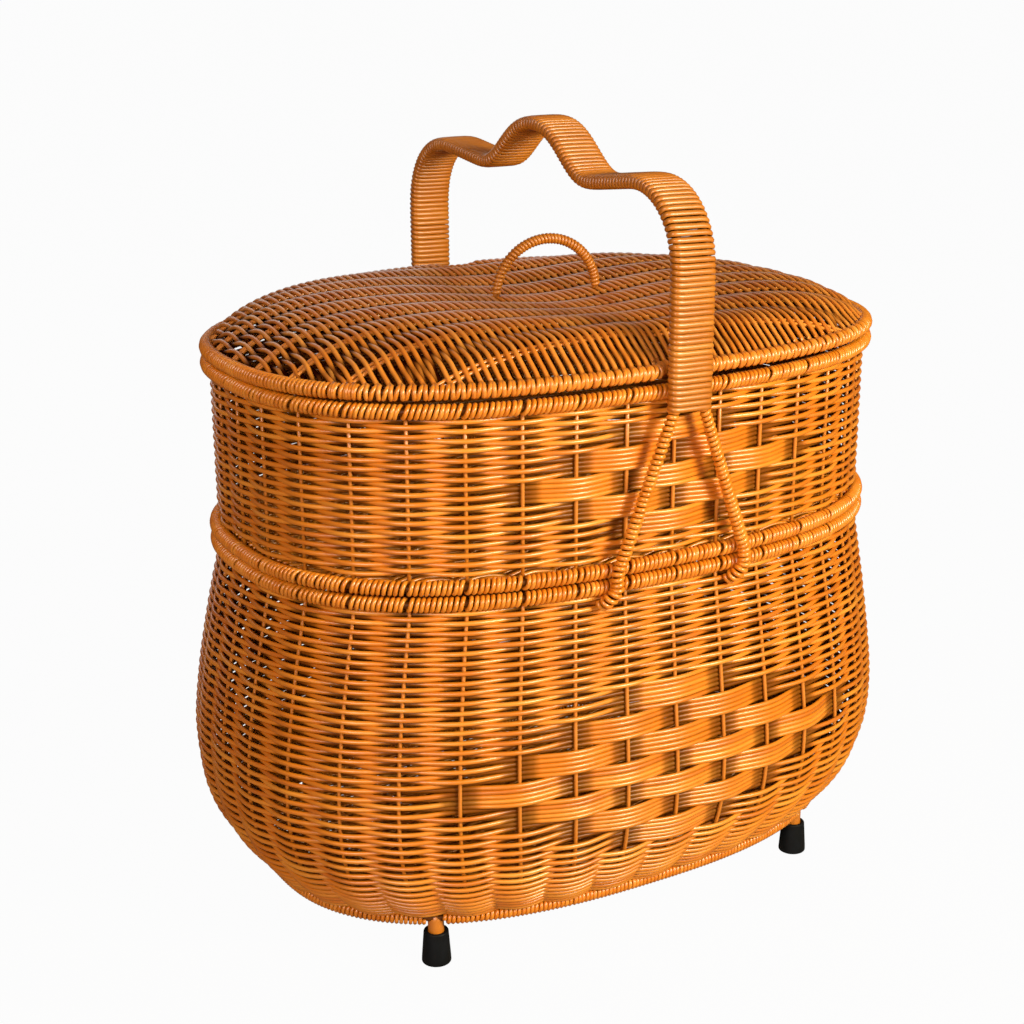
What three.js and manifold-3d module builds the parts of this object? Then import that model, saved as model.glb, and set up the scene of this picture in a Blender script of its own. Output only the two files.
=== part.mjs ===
// Two-tier lidded basket: cane woven on welded wire frames, with a fixed carrying handle.
// Millimetres, +Z up. X runs along the basket, Y from front (-) to back (+).
// The origin is on the ground, midway between the four feet.

import * as THREE from 'three';
import { mergeVertices } from 'three/addons/utils/BufferGeometryUtils.js';
import Module from 'manifold-3d';

const wasm = await Module();
wasm.setup();

// Outline of every rim seen from above: |x/a|^n + |y/b|^n = 1.
const RIM_HALF_LENGTH = 198.2;
const RIM_HALF_DEPTH = 135.7;
const OUTLINE_POWER = 2.5;

// Lower tier, measured on the centre line of its stakes. The belly swells out beyond the rim,
// and the base is drawn in from it.
const BELLY_SWELL_LENGTH = 14.8;
const BELLY_SWELL_DEPTH = 11.3;
const BASE_INSET_LENGTH = 18.2;
const BASE_INSET_DEPTH = 19.7;
const BASE_HEIGHT = 29.5;
const BELLY_RISE = 76.5;
const BASE_CURVE_POWER = 3.1;
const NECK_CURVE_POWER = 1.8;
const JOINT_HEIGHT = 228.5;
const NECK_DROP = 7.5;

// Upper tier and lid. The lid rises to a lobe on either side of the carrying handle.
const UPPER_TIER_HEIGHT = 103.5;
const LID_RISE = 16.1;
const LID_LOBE_RISE = 8.3;
const LID_LOBE_REACH = 60;
const LID_SHOULDER_POWER = 7;
const LID_RIB_COUNT = 9;
const LID_RIB_SPACING = 28;
const LID_SKIN = 1.8;
const LID_DIP = 2.3;
const LID_SHEET_MARGIN = 1;
const LID_EDGE_INSET = 3.2;
const NOTCH_DEPTH = 10;
const NOTCH_HALF_WIDTH = 17;
const NOTCH_SHOULDER = 14;

// Wires, cane and the room left between separate pieces. The walls stand a little inside the rims.
const STAKE_COUNT = 36;
const STAKE_RADIUS = 1.3;
const WALL_INSET = 2.2;
const RING_WIRE_RADIUS = 2;
const RIM_RADIUS = 4.4;
const BASE_BINDING_RADIUS = 3.7;
const CANE_SKIN = 1.6;
const WEAVE_DIP = 2.2;
const FLOOR_THICKNESS = 3;
const FLOOR_BAR_COUNT = 5;
const FLOOR_BAR_SPACING = 54;
const CLEARANCE = 0.3;
const RIB_HEADROOM = 0.9;
const WALL_FOOT_GAP = 3.2;
const WALL_RIM_ROOM = 1.4;

// Each binding wraps its ring wire between two angles, in degrees from outward towards up.
// It stays open where stakes, floor bars or ribs come in.
const TOP_BINDING_DEGREES = [-80, 172];
const BASE_BINDING_DEGREES = [228, 362];
const FOOT_BINDING_DEGREES = [230, 400];
const LID_BINDING_DEGREES = [240, 455];

// Feet.
const FOOT_DEGREES = 48.9;
const POST_RADIUS = 4.6;
const CAP_HEIGHT = 20;
const CAP_FLOOR = 4;
const CAP_TOP_RADIUS = 6.9;
const CAP_FOOT_RADIUS = 8;
const CAP_CHAMFER = 1;

// Carrying handle: two rods bound side by side into one band, parting into two legs at each end.
// Its heights are measured from the top of the upper tier.
const HANDLE_RISE = 127;
const SHOULDER_RISE = 101.6;
const VALLEY_RISE = 95.5;
const BAND_FOOT_DROP = 13;
const BAND_WIDTH = 26.8;
const BAND_THICKNESS = 8.4;
const BAND_TURNS = 40;
const BAND_GROOVE = 0.6;
const HANDLE_ROD_RADIUS = 2.4;
const HANDLE_ROD_SPACING = 17.2;
const HANDLE_CLEARANCE = 1.2;
const SHOULDER_RADIUS = 40;
const CREST_HALF_WIDTH = 56;
const CREST_OFFSET = -1.5;
const CREST_POWER = 1.25;
const LEG_FOOT_DISTANCE = 84;
const LEG_BINDING_RADIUS = 3.5;
const LEG_BINDING_GAP = 4;
const LEG_FOOT_RISE = 12;
const HOOK_DEGREES = 22;

// Arched lid handle.
const LID_HANDLE_HALF_SPAN = 34;
const LID_HANDLE_RISE = 32;
const LID_HANDLE_ROD_RADIUS = 1.9;
const LID_HANDLE_BINDING_RADIUS = 3.2;

// Facets, and the shares of a curve's length at which it gets a corner.
const ROD_SIDES = 6;
const WIRE_SIDES = 4;
const SLEEVE_SIDES = 8;
const ROUND_SIDES = 12;
const BINDING_STEPS = 4;
const SHOULDER_STEPS = 5;
const ARCH_STEPS = 14;
const ARCH_BARE_STEPS = 1;
const SWELL_SHARES = [0.18, 0.48];
const NECK_SHARES = [0.4, 0.74];
const RIB_SHARES = [0, 0.55, 0.76, 0.9, 1];
const NOTCH_SHARES = [0.5, 1];
const NOTCH_SHOULDER_SHARES = [0.3, 0.7, 1];
const CREST_SHARES = [0, 0.2, 0.42, 0.62, 0.82, 1];

// Heights and spacings that follow from the sizes above.
const BELLY_HALF_LENGTH = RIM_HALF_LENGTH + BELLY_SWELL_LENGTH;
const BELLY_HALF_DEPTH = RIM_HALF_DEPTH + BELLY_SWELL_DEPTH;
const BASE_HALF_LENGTH = RIM_HALF_LENGTH - BASE_INSET_LENGTH;
const BASE_HALF_DEPTH = RIM_HALF_DEPTH - BASE_INSET_DEPTH;
const WALL_HALF_LENGTH = RIM_HALF_LENGTH - WALL_INSET;
const WALL_HALF_DEPTH = RIM_HALF_DEPTH - WALL_INSET;
const BELLY_HEIGHT = BASE_HEIGHT + BELLY_RISE;
const NECK_HEIGHT = JOINT_HEIGHT - NECK_DROP;
const LOWER_RIM_HEIGHT = JOINT_HEIGHT - RIM_RADIUS;
const UPPER_BASE_HEIGHT = JOINT_HEIGHT + CLEARANCE + RIM_RADIUS;
const TIER_TOP_HEIGHT = JOINT_HEIGHT + UPPER_TIER_HEIGHT;
const UPPER_RIM_HEIGHT = TIER_TOP_HEIGHT - RIM_RADIUS;
const LID_RIM_HEIGHT = TIER_TOP_HEIGHT + CLEARANCE + RIM_RADIUS;
const WALL_TOP_GAP = RIM_RADIUS + WALL_RIM_ROOM;
const SKIN_INSIDE = STAKE_RADIUS + CLEARANCE;
const SKIN_OUTSIDE = SKIN_INSIDE + CANE_SKIN;
const HANDLE_PLANE = RIM_HALF_DEPTH + RIM_RADIUS + HANDLE_CLEARANCE + BAND_THICKNESS / 2;
const CREST_HEIGHT = TIER_TOP_HEIGHT + HANDLE_RISE - BAND_THICKNESS / 2;
const SHOULDER_HEIGHT = TIER_TOP_HEIGHT + SHOULDER_RISE;
const VALLEY_HEIGHT = TIER_TOP_HEIGHT + VALLEY_RISE;
const BAND_FOOT_HEIGHT = TIER_TOP_HEIGHT - BAND_FOOT_DROP;

const DEGREE = Math.PI / 180;
const FULL_TURN = 2 * Math.PI;
const ANGLE_STEP = 0.001;
const MERGE_DISTANCE = 1e-4;
const UP = new THREE.Vector3(0, 0, 1);
const ALONG = new THREE.Vector3(1, 0, 0);

const cane = { color: 0xe08a26, roughness: 0.42, metalness: 0 };
const lidCane = { color: 0xa8683a, roughness: 0.5, metalness: 0 };
const coatedWire = { color: 0xb06a1c, roughness: 0.45, metalness: 0.2 };
const rubber = { color: 0x14181f, roughness: 0.6, metalness: 0 };

const basket = new THREE.Group();

function addPiece(name, geometry, finish) {
  const mesh = new THREE.Mesh(geometry, new THREE.MeshStandardMaterial(finish));
  mesh.name = name;
  basket.add(mesh);
  return mesh;
}

// Solids from rows of points

function signedVolume(positions, index) {
  let volume = 0;
  const a = new THREE.Vector3();
  const b = new THREE.Vector3();
  const c = new THREE.Vector3();
  for (let i = 0; i < index.length; i += 3) {
    a.fromArray(positions, 3 * index[i]);
    b.fromArray(positions, 3 * index[i + 1]);
    c.fromArray(positions, 3 * index[i + 2]);
    volume += a.dot(b.cross(c)) / 6;
  }
  return volume;
}

function closedGeometry(points, index) {
  const positions = points.flatMap((p) => [p.x, p.y, p.z]);
  const outward = signedVolume(positions, index) < 0 ? index.slice().reverse() : index;
  const geometry = new THREE.BufferGeometry();
  geometry.setAttribute('position', new THREE.Float32BufferAttribute(positions, 3));
  geometry.setIndex(outward);
  return geometry;
}

// Quads between row `from` and row `to`, each `count` points long and closed on itself.
function bridge(index, from, to, count) {
  for (let k = 0; k < count; k += 1) {
    const l = (k + 1) % count;
    index.push(from + k, to + k, to + l, from + k, to + l, from + l);
  }
}

// A solid through a row of sections. A ring closes on itself; otherwise `contour` caps the ends.
function loft(sections, contour = null) {
  const count = sections[0].length;
  const rows = sections.length;
  const index = [];
  const joints = contour ? rows - 1 : rows;
  for (let i = 0; i < joints; i += 1) {
    bridge(index, i * count, ((i + 1) % rows) * count, count);
  }
  if (contour) {
    const last = (rows - 1) * count;
    for (const [a, b, c] of THREE.ShapeUtils.triangulateShape(contour, [])) {
      index.push(a, b, c, last + a, last + c, last + b);
    }
  }
  return closedGeometry(sections.flat(), index);
}

// An open-ended sleeve: the outer and inner rows run between the same two ends.
function sleeve(outer, inner) {
  const count = outer[0].length;
  const index = [];
  const start = outer.length * count;
  const lastOuter = (outer.length - 1) * count;
  const lastInner = start + (inner.length - 1) * count;
  for (let i = 0; i + 1 < outer.length; i += 1) {
    bridge(index, i * count, (i + 1) * count, count);
  }
  for (let i = 0; i + 1 < inner.length; i += 1) {
    bridge(index, start + (i + 1) * count, start + i * count, count);
  }
  bridge(index, start, 0, count);
  bridge(index, lastOuter, lastInner, count);
  return closedGeometry([...outer.flat(), ...inner.flat()], index);
}

function arc(radius, from, to, steps) {
  return Array.from({ length: steps + 1 }, (_, i) => {
    const angle = (from + ((to - from) * i) / steps) * DEGREE;
    return new THREE.Vector2(radius * Math.cos(angle), radius * Math.sin(angle));
  });
}

function circle(radius, sides) {
  return arc(radius, 180 / sides, 360 + 180 / sides, sides).slice(0, sides);
}

// A polygon of this many sides whose flats, not its corners, lie on the circle.
function circleAround(radius, sides) {
  return circle(radius / Math.cos(Math.PI / sides), sides);
}

// Frames carried along a row of points without twisting about the path.
function pathFrames(points, firstSide) {
  let side = firstSide.clone();
  return points.map((point, i) => {
    const before = points[Math.max(i - 1, 0)];
    const after = points[Math.min(i + 1, points.length - 1)];
    const tangent = after.clone().sub(before).normalize();
    side = side.clone().addScaledVector(tangent, -side.dot(tangent)).normalize();
    return { point, side, across: tangent.clone().cross(side) };
  });
}

function place({ point, side, across }, contour) {
  return contour.map((p) => point.clone().addScaledVector(side, p.x).addScaledVector(across, p.y));
}

// A list of shares from 0 to 1, mirrored to run from -1 to 1.
function bothWays(shares) {
  return [...shares.slice(1).reverse().map((share) => -share), ...shares];
}

function tube(points, radius, sides, firstSide) {
  const contour = circle(radius, sides);
  return loft(pathFrames(points, firstSide).map((frame) => place(frame, contour)), contour);
}

// Joining and cutting

function toSolid(geometry) {
  const bare = geometry.clone();
  bare.deleteAttribute('normal');
  bare.deleteAttribute('uv');
  const merged = mergeVertices(bare, MERGE_DISTANCE);
  return new wasm.Manifold(new wasm.Mesh({
    numProp: 3,
    vertProperties: new Float32Array(merged.attributes.position.array),
    triVerts: new Uint32Array(merged.index.array),
  }));
}

function toGeometry(solid) {
  const mesh = solid.getMesh();
  const positions = new Float32Array(mesh.vertProperties);
  const geometry = new THREE.BufferGeometry();
  geometry.setAttribute('position', new THREE.BufferAttribute(positions, 3));
  geometry.setIndex(new THREE.BufferAttribute(new Uint32Array(mesh.triVerts), 1));
  return geometry;
}

function join(geometries) {
  return toGeometry(geometries.map(toSolid).reduce((whole, piece) => whole.add(piece)));
}

function cut(geometry, tools) {
  return toGeometry(tools.map(toSolid).reduce((whole, tool) => whole.subtract(tool), toSolid(geometry)));
}

function common(geometry, other) {
  return toGeometry(toSolid(geometry).intersect(toSolid(other)));
}

// Outlines

function outlinePoint(a, b, angle) {
  const power = 2 / OUTLINE_POWER;
  const c = Math.cos(angle);
  const s = Math.sin(angle);
  const x = a * Math.sign(c) * Math.abs(c) ** power;
  const y = b * Math.sign(s) * Math.abs(s) ** power;
  return new THREE.Vector2(x, y);
}

function outlineNormal(a, b, point) {
  const power = OUTLINE_POWER - 1;
  const x = (Math.sign(point.x) * Math.abs(point.x / a) ** power) / a;
  const y = (Math.sign(point.y) * Math.abs(point.y / b) ** power) / b;
  return new THREE.Vector2(x, y).normalize();
}

// Half depth of an outline at a distance x from its middle.
function outlineDepth(a, b, x) {
  return b * (1 - Math.abs(x / a) ** OUTLINE_POWER) ** (1 / OUTLINE_POWER);
}

// Angle on an outline of half length a where it is x from the middle, on the side of larger y.
function angleAt(a, x) {
  return Math.acos(Math.sign(x) * Math.abs(x / a) ** (OUTLINE_POWER / 2));
}

// Stakes stand at equal steps round the rim, the first at the middle of the front.
function evenAngles(count) {
  const samples = 7200;
  const lengths = [0];
  const front = -Math.PI / 2;
  let last = outlinePoint(RIM_HALF_LENGTH, RIM_HALF_DEPTH, front);
  for (let i = 1; i <= samples; i += 1) {
    const next = outlinePoint(RIM_HALF_LENGTH, RIM_HALF_DEPTH, front + (FULL_TURN * i) / samples);
    lengths.push(lengths[i - 1] + next.distanceTo(last));
    last = next;
  }
  const step = lengths[samples] / count;
  return Array.from({ length: count }, (_, k) => {
    const i = lengths.findIndex((length) => length >= k * step);
    return front + (FULL_TURN * i) / samples;
  });
}

const stakeAngles = evenAngles(STAKE_COUNT);
const weaveAngles = evenAngles(2 * STAKE_COUNT);

// Half length and half depth of the lower tier's wall at a height.
function lowerSize(z) {
  const low = Math.min(Math.max((z - BASE_HEIGHT) / (BELLY_HEIGHT - BASE_HEIGHT), 0), 1);
  const neck = Math.min(Math.max((z - BELLY_HEIGHT) / (NECK_HEIGHT - BELLY_HEIGHT), 0), 1);
  const high = neck ** NECK_CURVE_POWER;
  const swell = 1 - (1 - low) ** BASE_CURVE_POWER;
  const length = THREE.MathUtils.lerp(BASE_HALF_LENGTH, BELLY_HALF_LENGTH, swell);
  const depth = THREE.MathUtils.lerp(BASE_HALF_DEPTH, BELLY_HALF_DEPTH, swell);
  return {
    a: THREE.MathUtils.lerp(length, WALL_HALF_LENGTH, high),
    b: THREE.MathUtils.lerp(depth, WALL_HALF_DEPTH, high),
  };
}

function upperSize() {
  return { a: WALL_HALF_LENGTH, b: WALL_HALF_DEPTH };
}

function wallPoint(sizeAt, angle, z) {
  const { a, b } = sizeAt(z);
  const point = outlinePoint(a, b, angle);
  return new THREE.Vector3(point.x, point.y, z);
}

// Outward normal of a wall, leaning with its slope.
function wallNormal(sizeAt, angle, z) {
  const { a, b } = sizeAt(z);
  const flat = outlineNormal(a, b, outlinePoint(a, b, angle));
  const above = wallPoint(sizeAt, angle, z + 0.5);
  const rise = above.sub(wallPoint(sizeAt, angle, z - 0.5));
  const slope = rise.x * flat.x + rise.y * flat.y;
  return new THREE.Vector3(flat.x, flat.y, -slope).normalize();
}

// A wire or a binding that follows a ring: `contour` is drawn with x outward and y up.
function ringSections({ points, normals }, z, contour) {
  return points.map((point, i) => contour.map((p) => new THREE.Vector3(
    point.x + normals[i].x * p.x,
    point.y + normals[i].y * p.x,
    z + p.y,
  )));
}

function outlineRing(a, b, angles) {
  const points = angles.map((angle) => outlinePoint(a, b, angle));
  return { points, normals: points.map((point) => outlineNormal(a, b, point)) };
}

// Section of a binding: a C round the ring wire, open where stakes, bars or ribs come in.
function bindingContour(radius, [from, to]) {
  const halfStep = ((to - from) / BINDING_STEPS / 2) * DEGREE;
  const bore = (RING_WIRE_RADIUS + CLEARANCE) / Math.cos(halfStep);
  const inside = arc(bore, from, to, BINDING_STEPS).reverse();
  return [...arc(radius, from, to, BINDING_STEPS), ...inside];
}

// Frames of welded wire

function floorBars(a, b, z) {
  const reach = STAKE_RADIUS / 2;
  return Array.from({ length: FLOOR_BAR_COUNT }, (_, k) => {
    const x = (k - (FLOOR_BAR_COUNT - 1) / 2) * FLOOR_BAR_SPACING;
    const y = outlineDepth(a, b, x) - reach;
    const ends = [new THREE.Vector3(x, -y, z), new THREE.Vector3(x, y, z)];
    return tube(ends, STAKE_RADIUS, WIRE_SIDES, UP);
  });
}

function stake(sizeAt, angle, heights, radius) {
  const points = heights.map((z) => wallPoint(sizeAt, angle, z));
  return tube(points, radius, WIRE_SIDES, wallNormal(sizeAt, angle, heights[0]));
}

function ringWire(ring, z, radius) {
  return loft(ringSections(ring, z, circle(radius, WIRE_SIDES)));
}

// Walls, floors and bindings of cane

// The cane bulges over every stake and dips between two of them, so the skin of a wall is fluted.
function wallSkin(sizeAt, heights) {
  const offset = (angle, z, distance) => wallPoint(sizeAt, angle, z).addScaledVector(
    wallNormal(sizeAt, angle, z),
    distance,
  );
  const column = (angle, dip) => [
    ...heights.map((z) => offset(angle, z, SKIN_OUTSIDE - dip)),
    ...heights.map((z) => offset(angle, z, SKIN_INSIDE - dip)).reverse(),
  ];
  return loft(weaveAngles.map((angle, i) => column(angle, i % 2 ? WEAVE_DIP : 0)));
}

function floorPlate(a, b, z) {
  const inset = STAKE_RADIUS + 2 * CLEARANCE;
  const { points, normals } = outlineRing(a, b, stakeAngles);
  const edge = points.map((point, i) => point.clone().addScaledVector(normals[i], -inset));
  const options = { depth: FLOOR_THICKNESS, bevelEnabled: false };
  return new THREE.ExtrudeGeometry(new THREE.Shape(edge), options).translate(0, 0, z);
}

// Lower tier

const lowerWallHeights = [
  BASE_HEIGHT + WALL_FOOT_GAP,
  ...SWELL_SHARES.map((share) => THREE.MathUtils.lerp(BASE_HEIGHT, BELLY_HEIGHT, share)),
  BELLY_HEIGHT,
  ...NECK_SHARES.map((share) => THREE.MathUtils.lerp(BELLY_HEIGHT, NECK_HEIGHT, share)),
  LOWER_RIM_HEIGHT - WALL_TOP_GAP,
];
const lowerStakeHeights = [BASE_HEIGHT, ...lowerWallHeights, LOWER_RIM_HEIGHT];
const baseFloorHeight = BASE_HEIGHT + STAKE_RADIUS + CLEARANCE;
const postTop = baseFloorHeight - CLEARANCE;

const rimRing = outlineRing(RIM_HALF_LENGTH, RIM_HALF_DEPTH, stakeAngles);

// The base ring has corners at the stakes, at the four posts and where its binding stops beside them.
const footNames = ['back_right', 'back_left', 'front_left', 'front_right'];
const footTurns = [FOOT_DEGREES, 180 - FOOT_DEGREES, 180 + FOOT_DEGREES, 360 - FOOT_DEGREES];
const footAngles = footTurns.map((angle) => angle * DEGREE);
const basePoint = (angle) => outlinePoint(BASE_HALF_LENGTH, BASE_HALF_DEPTH, angle);
const footPoints = footAngles.map(basePoint);
const footStride = basePoint(footAngles[0] + ANGLE_STEP).distanceTo(footPoints[0]);
const postHalfAngle = ((POST_RADIUS + 2 * CLEARANCE) / footStride) * ANGLE_STEP;
const turned = (angle) => ((angle % FULL_TURN) + FULL_TURN) % FULL_TURN;
const besidePosts = footAngles.flatMap((angle) => [angle - postHalfAngle, angle, angle + postHalfAngle]);
const baseAngles = [...stakeAngles, ...besidePosts].map(turned).sort((p, q) => p - q);
const baseRing = outlineRing(BASE_HALF_LENGTH, BASE_HALF_DEPTH, baseAngles);

addPiece('lower_frame', join([
  ringWire(baseRing, BASE_HEIGHT, RING_WIRE_RADIUS),
  ringWire(rimRing, LOWER_RIM_HEIGHT, RING_WIRE_RADIUS),
  ...stakeAngles.map((angle) => stake(lowerSize, angle, lowerStakeHeights, STAKE_RADIUS)),
  ...floorBars(BASE_HALF_LENGTH, BASE_HALF_DEPTH, BASE_HEIGHT),
]), coatedWire);

addPiece('lower_wall_weave', wallSkin(lowerSize, lowerWallHeights), cane);
addPiece('lower_floor_weave', floorPlate(BASE_HALF_LENGTH, BASE_HALF_DEPTH, baseFloorHeight), cane);

const topBinding = bindingContour(RIM_RADIUS, TOP_BINDING_DEGREES);
addPiece('lower_rim_binding', loft(ringSections(rimRing, LOWER_RIM_HEIGHT, topBinding)), cane);

const baseBinding = bindingContour(BASE_BINDING_RADIUS, BASE_BINDING_DEGREES);
const sideNames = ['back', 'left', 'front', 'right'];
footAngles.forEach((angle, i) => {
  const from = angle + postHalfAngle;
  const next = i + 1 < footAngles.length ? footAngles[i + 1] : footAngles[0] + FULL_TURN;
  const to = next - postHalfAngle;
  const between = [...baseAngles, ...baseAngles.map((a) => a + FULL_TURN)].filter((a) => (
    a > from + ANGLE_STEP && a < to - ANGLE_STEP
  ));
  const ring = outlineRing(BASE_HALF_LENGTH, BASE_HALF_DEPTH, [from, ...between, to]);
  const sections = ringSections(ring, BASE_HEIGHT, baseBinding);
  addPiece(`base_binding_${sideNames[i]}`, loft(sections, baseBinding), cane);
});

// Feet: posts saddled on the base ring, in rubber caps

const baseClearance = ringWire(baseRing, BASE_HEIGHT, RING_WIRE_RADIUS + CLEARANCE);
const postFoot = CAP_FLOOR + CLEARANCE;

function legPost(foot) {
  const length = postTop - postFoot;
  const post = new THREE.CylinderGeometry(POST_RADIUS, POST_RADIUS, length, ROUND_SIDES);
  post.rotateX(Math.PI / 2).translate(foot.x, foot.y, postFoot + length / 2);
  const reach = POST_RADIUS + STAKE_RADIUS + CLEARANCE;
  const nearStakes = stakeAngles.filter((angle) => basePoint(angle).distanceTo(foot) < reach);
  const roomRadius = (STAKE_RADIUS + CLEARANCE) * Math.SQRT2;
  const roomHeights = lowerStakeHeights.slice(0, 3);
  const stakeRoom = nearStakes.map((angle) => stake(lowerSize, angle, roomHeights, roomRadius));
  return cut(post, [baseClearance, ...stakeRoom]);
}

function footCap(foot) {
  const bore = (POST_RADIUS + CLEARANCE) / Math.cos(Math.PI / ROUND_SIDES);
  const profile = [
    new THREE.Vector2(0, 0),
    new THREE.Vector2(CAP_FOOT_RADIUS - CAP_CHAMFER, 0),
    new THREE.Vector2(CAP_FOOT_RADIUS, CAP_CHAMFER),
    new THREE.Vector2(CAP_TOP_RADIUS, CAP_HEIGHT - CAP_CHAMFER),
    new THREE.Vector2(CAP_TOP_RADIUS - CAP_CHAMFER / 2, CAP_HEIGHT),
    new THREE.Vector2(bore, CAP_HEIGHT),
    new THREE.Vector2(bore, CAP_FLOOR),
    new THREE.Vector2(0, CAP_FLOOR),
  ];
  const cap = new THREE.LatheGeometry(profile, ROUND_SIDES).rotateX(Math.PI / 2);
  return cap.translate(foot.x, foot.y, 0);
}

footPoints.forEach((foot, i) => {
  addPiece(`leg_post_${footNames[i]}`, legPost(foot), coatedWire);
  addPiece(`foot_cap_${footNames[i]}`, footCap(foot), rubber);
});

// Upper tier

const upperWallHeights = [UPPER_BASE_HEIGHT + WALL_TOP_GAP, UPPER_RIM_HEIGHT - WALL_TOP_GAP];
const upperStakeHeights = [UPPER_BASE_HEIGHT, UPPER_RIM_HEIGHT];
const upperFloorHeight = UPPER_BASE_HEIGHT + STAKE_RADIUS + CLEARANCE;

addPiece('upper_frame', join([
  ringWire(rimRing, UPPER_BASE_HEIGHT, RING_WIRE_RADIUS),
  ringWire(rimRing, UPPER_RIM_HEIGHT, RING_WIRE_RADIUS),
  ...stakeAngles.map((angle) => stake(upperSize, angle, upperStakeHeights, STAKE_RADIUS)),
  ...floorBars(RIM_HALF_LENGTH, RIM_HALF_DEPTH, UPPER_BASE_HEIGHT),
]), coatedWire);

addPiece('upper_wall_weave', wallSkin(upperSize, upperWallHeights), cane);
addPiece('upper_floor_weave', floorPlate(WALL_HALF_LENGTH, WALL_HALF_DEPTH, upperFloorHeight), cane);

const footBinding = bindingContour(RIM_RADIUS, FOOT_BINDING_DEGREES);
addPiece('upper_foot_binding', loft(ringSections(rimRing, UPPER_BASE_HEIGHT, footBinding)), cane);
addPiece('upper_rim_binding', loft(ringSections(rimRing, UPPER_RIM_HEIGHT, topBinding)), cane);

// Lid: a notched ring, ribs that carry the dome, and the cane laid over them

function notchInset(x) {
  const t = THREE.MathUtils.clamp((Math.abs(x) - NOTCH_HALF_WIDTH) / NOTCH_SHOULDER, 0, 1);
  return (NOTCH_DEPTH * (1 + Math.cos(Math.PI * t))) / 2;
}

function lidPoint(angle) {
  const point = outlinePoint(RIM_HALF_LENGTH, RIM_HALF_DEPTH, angle);
  point.y -= Math.sign(point.y) * notchInset(point.x);
  return point;
}

// Normals of a closed row of points that runs counter-clockwise.
function rowNormals(points) {
  return points.map((_, i) => {
    const before = points[(i + points.length - 1) % points.length];
    const after = points[(i + 1) % points.length];
    const along = after.clone().sub(before);
    return new THREE.Vector2(along.y, -along.x).normalize();
  });
}

// The notch replaces the outline's corners near the middle of the front and back.
const notchReach = NOTCH_HALF_WIDTH + NOTCH_SHOULDER;
const notchXs = [
  ...NOTCH_SHARES.map((share) => share * NOTCH_HALF_WIDTH),
  ...NOTCH_SHOULDER_SHARES.map((share) => NOTCH_HALF_WIDTH + share * NOTCH_SHOULDER),
];
const notchAngles = notchXs.flatMap((x) => [x, -x]).flatMap((x) => {
  const angle = angleAt(RIM_HALF_LENGTH, x);
  return [angle, -angle];
});
const notchMargin = NOTCH_SHOULDER / 2;
const lidAngles = stakeAngles.filter((angle) => (
  Math.abs(outlinePoint(RIM_HALF_LENGTH, RIM_HALF_DEPTH, angle).x) > notchReach + notchMargin
)).concat(notchAngles).map(turned).sort((p, q) => p - q);
const lidPoints = lidAngles.map(lidPoint);
const lidRing = { points: lidPoints, normals: rowNormals(lidPoints) };

// Height of the ribs' centre line above the lid's ring.
function domeRise(x, y) {
  const level = (Math.abs(x / RIM_HALF_LENGTH) ** OUTLINE_POWER
    + Math.abs(y / RIM_HALF_DEPTH) ** OUTLINE_POWER) ** (1 / OUTLINE_POWER);
  const lobe = 1 - Math.exp(-((x / LID_LOBE_REACH) ** 2));
  const top = LID_RISE + LID_LOBE_RISE * lobe;
  return top * (1 - Math.min(level, 1) ** LID_SHOULDER_POWER);
}

function lidRib(y) {
  const half = outlineDepth(RIM_HALF_DEPTH, RIM_HALF_LENGTH, y) - STAKE_RADIUS / 2;
  const points = bothWays(RIB_SHARES).map((share) => {
    const x = share * half;
    return new THREE.Vector3(x, y, LID_RIM_HEIGHT + domeRise(x, y));
  });
  return tube(points, STAKE_RADIUS, WIRE_SIDES, UP);
}

const ribYs = Array.from({ length: LID_RIB_COUNT }, (_, k) => (
  (k - (LID_RIB_COUNT - 1) / 2) * LID_RIB_SPACING
));
addPiece('lid_frame', join([
  ringWire(lidRing, LID_RIM_HEIGHT, RING_WIRE_RADIUS),
  ...ribYs.map(lidRib),
]), coatedWire);

const lidBinding = bindingContour(RIM_RADIUS, LID_BINDING_DEGREES);
addPiece('lid_rim_binding', loft(ringSections(lidRing, LID_RIM_HEIGHT, lidBinding)), cane);

// The lid's cane crosses the ribs from front to back: it rises over every rib and dips between two.
const skinLift = STAKE_RADIUS + RIB_HEADROOM;
const sheetEnd = RIM_HALF_DEPTH - LID_SHEET_MARGIN;
const sheetLines = Array.from({ length: 2 * LID_RIB_COUNT + 1 }, (_, k) => ({
  y: ((k - LID_RIB_COUNT) * LID_RIB_SPACING) / 2,
  lift: k % 2 ? skinLift : skinLift - LID_DIP,
})).filter((line) => Math.abs(line.y) < sheetEnd - LID_SHEET_MARGIN);
const sheetEdges = [-sheetEnd, sheetEnd].map((y) => ({ y, lift: skinLift - LID_DIP }));

function sheetSection({ y, lift }) {
  const half = outlineDepth(RIM_HALF_DEPTH, RIM_HALF_LENGTH, y);
  const row = (height) => bothWays(RIB_SHARES).map((share) => {
    const x = share * half;
    return new THREE.Vector3(x, y, LID_RIM_HEIGHT + domeRise(x, y) + height);
  });
  return [...row(lift + LID_SKIN), ...row(lift).reverse()];
}

// The waved sheet, trimmed to a line just inside the lid's ring.
function domeSkin() {
  const sections = [sheetEdges[0], ...sheetLines, sheetEdges[1]].map(sheetSection);
  const sheet = loft(sections, sections[0].map((p) => new THREE.Vector2(p.z, p.x)));
  const { points, normals } = lidRing;
  const edge = points.map((point, i) => point.clone().addScaledVector(normals[i], -LID_EDGE_INSET));
  const depth = LID_RISE + LID_LOBE_RISE + 3 * RIM_RADIUS;
  const options = { depth, bevelEnabled: false };
  const trim = new THREE.ExtrudeGeometry(new THREE.Shape(edge), options);
  return common(sheet, trim.translate(0, 0, LID_RIM_HEIGHT - RIM_RADIUS));
}

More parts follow.
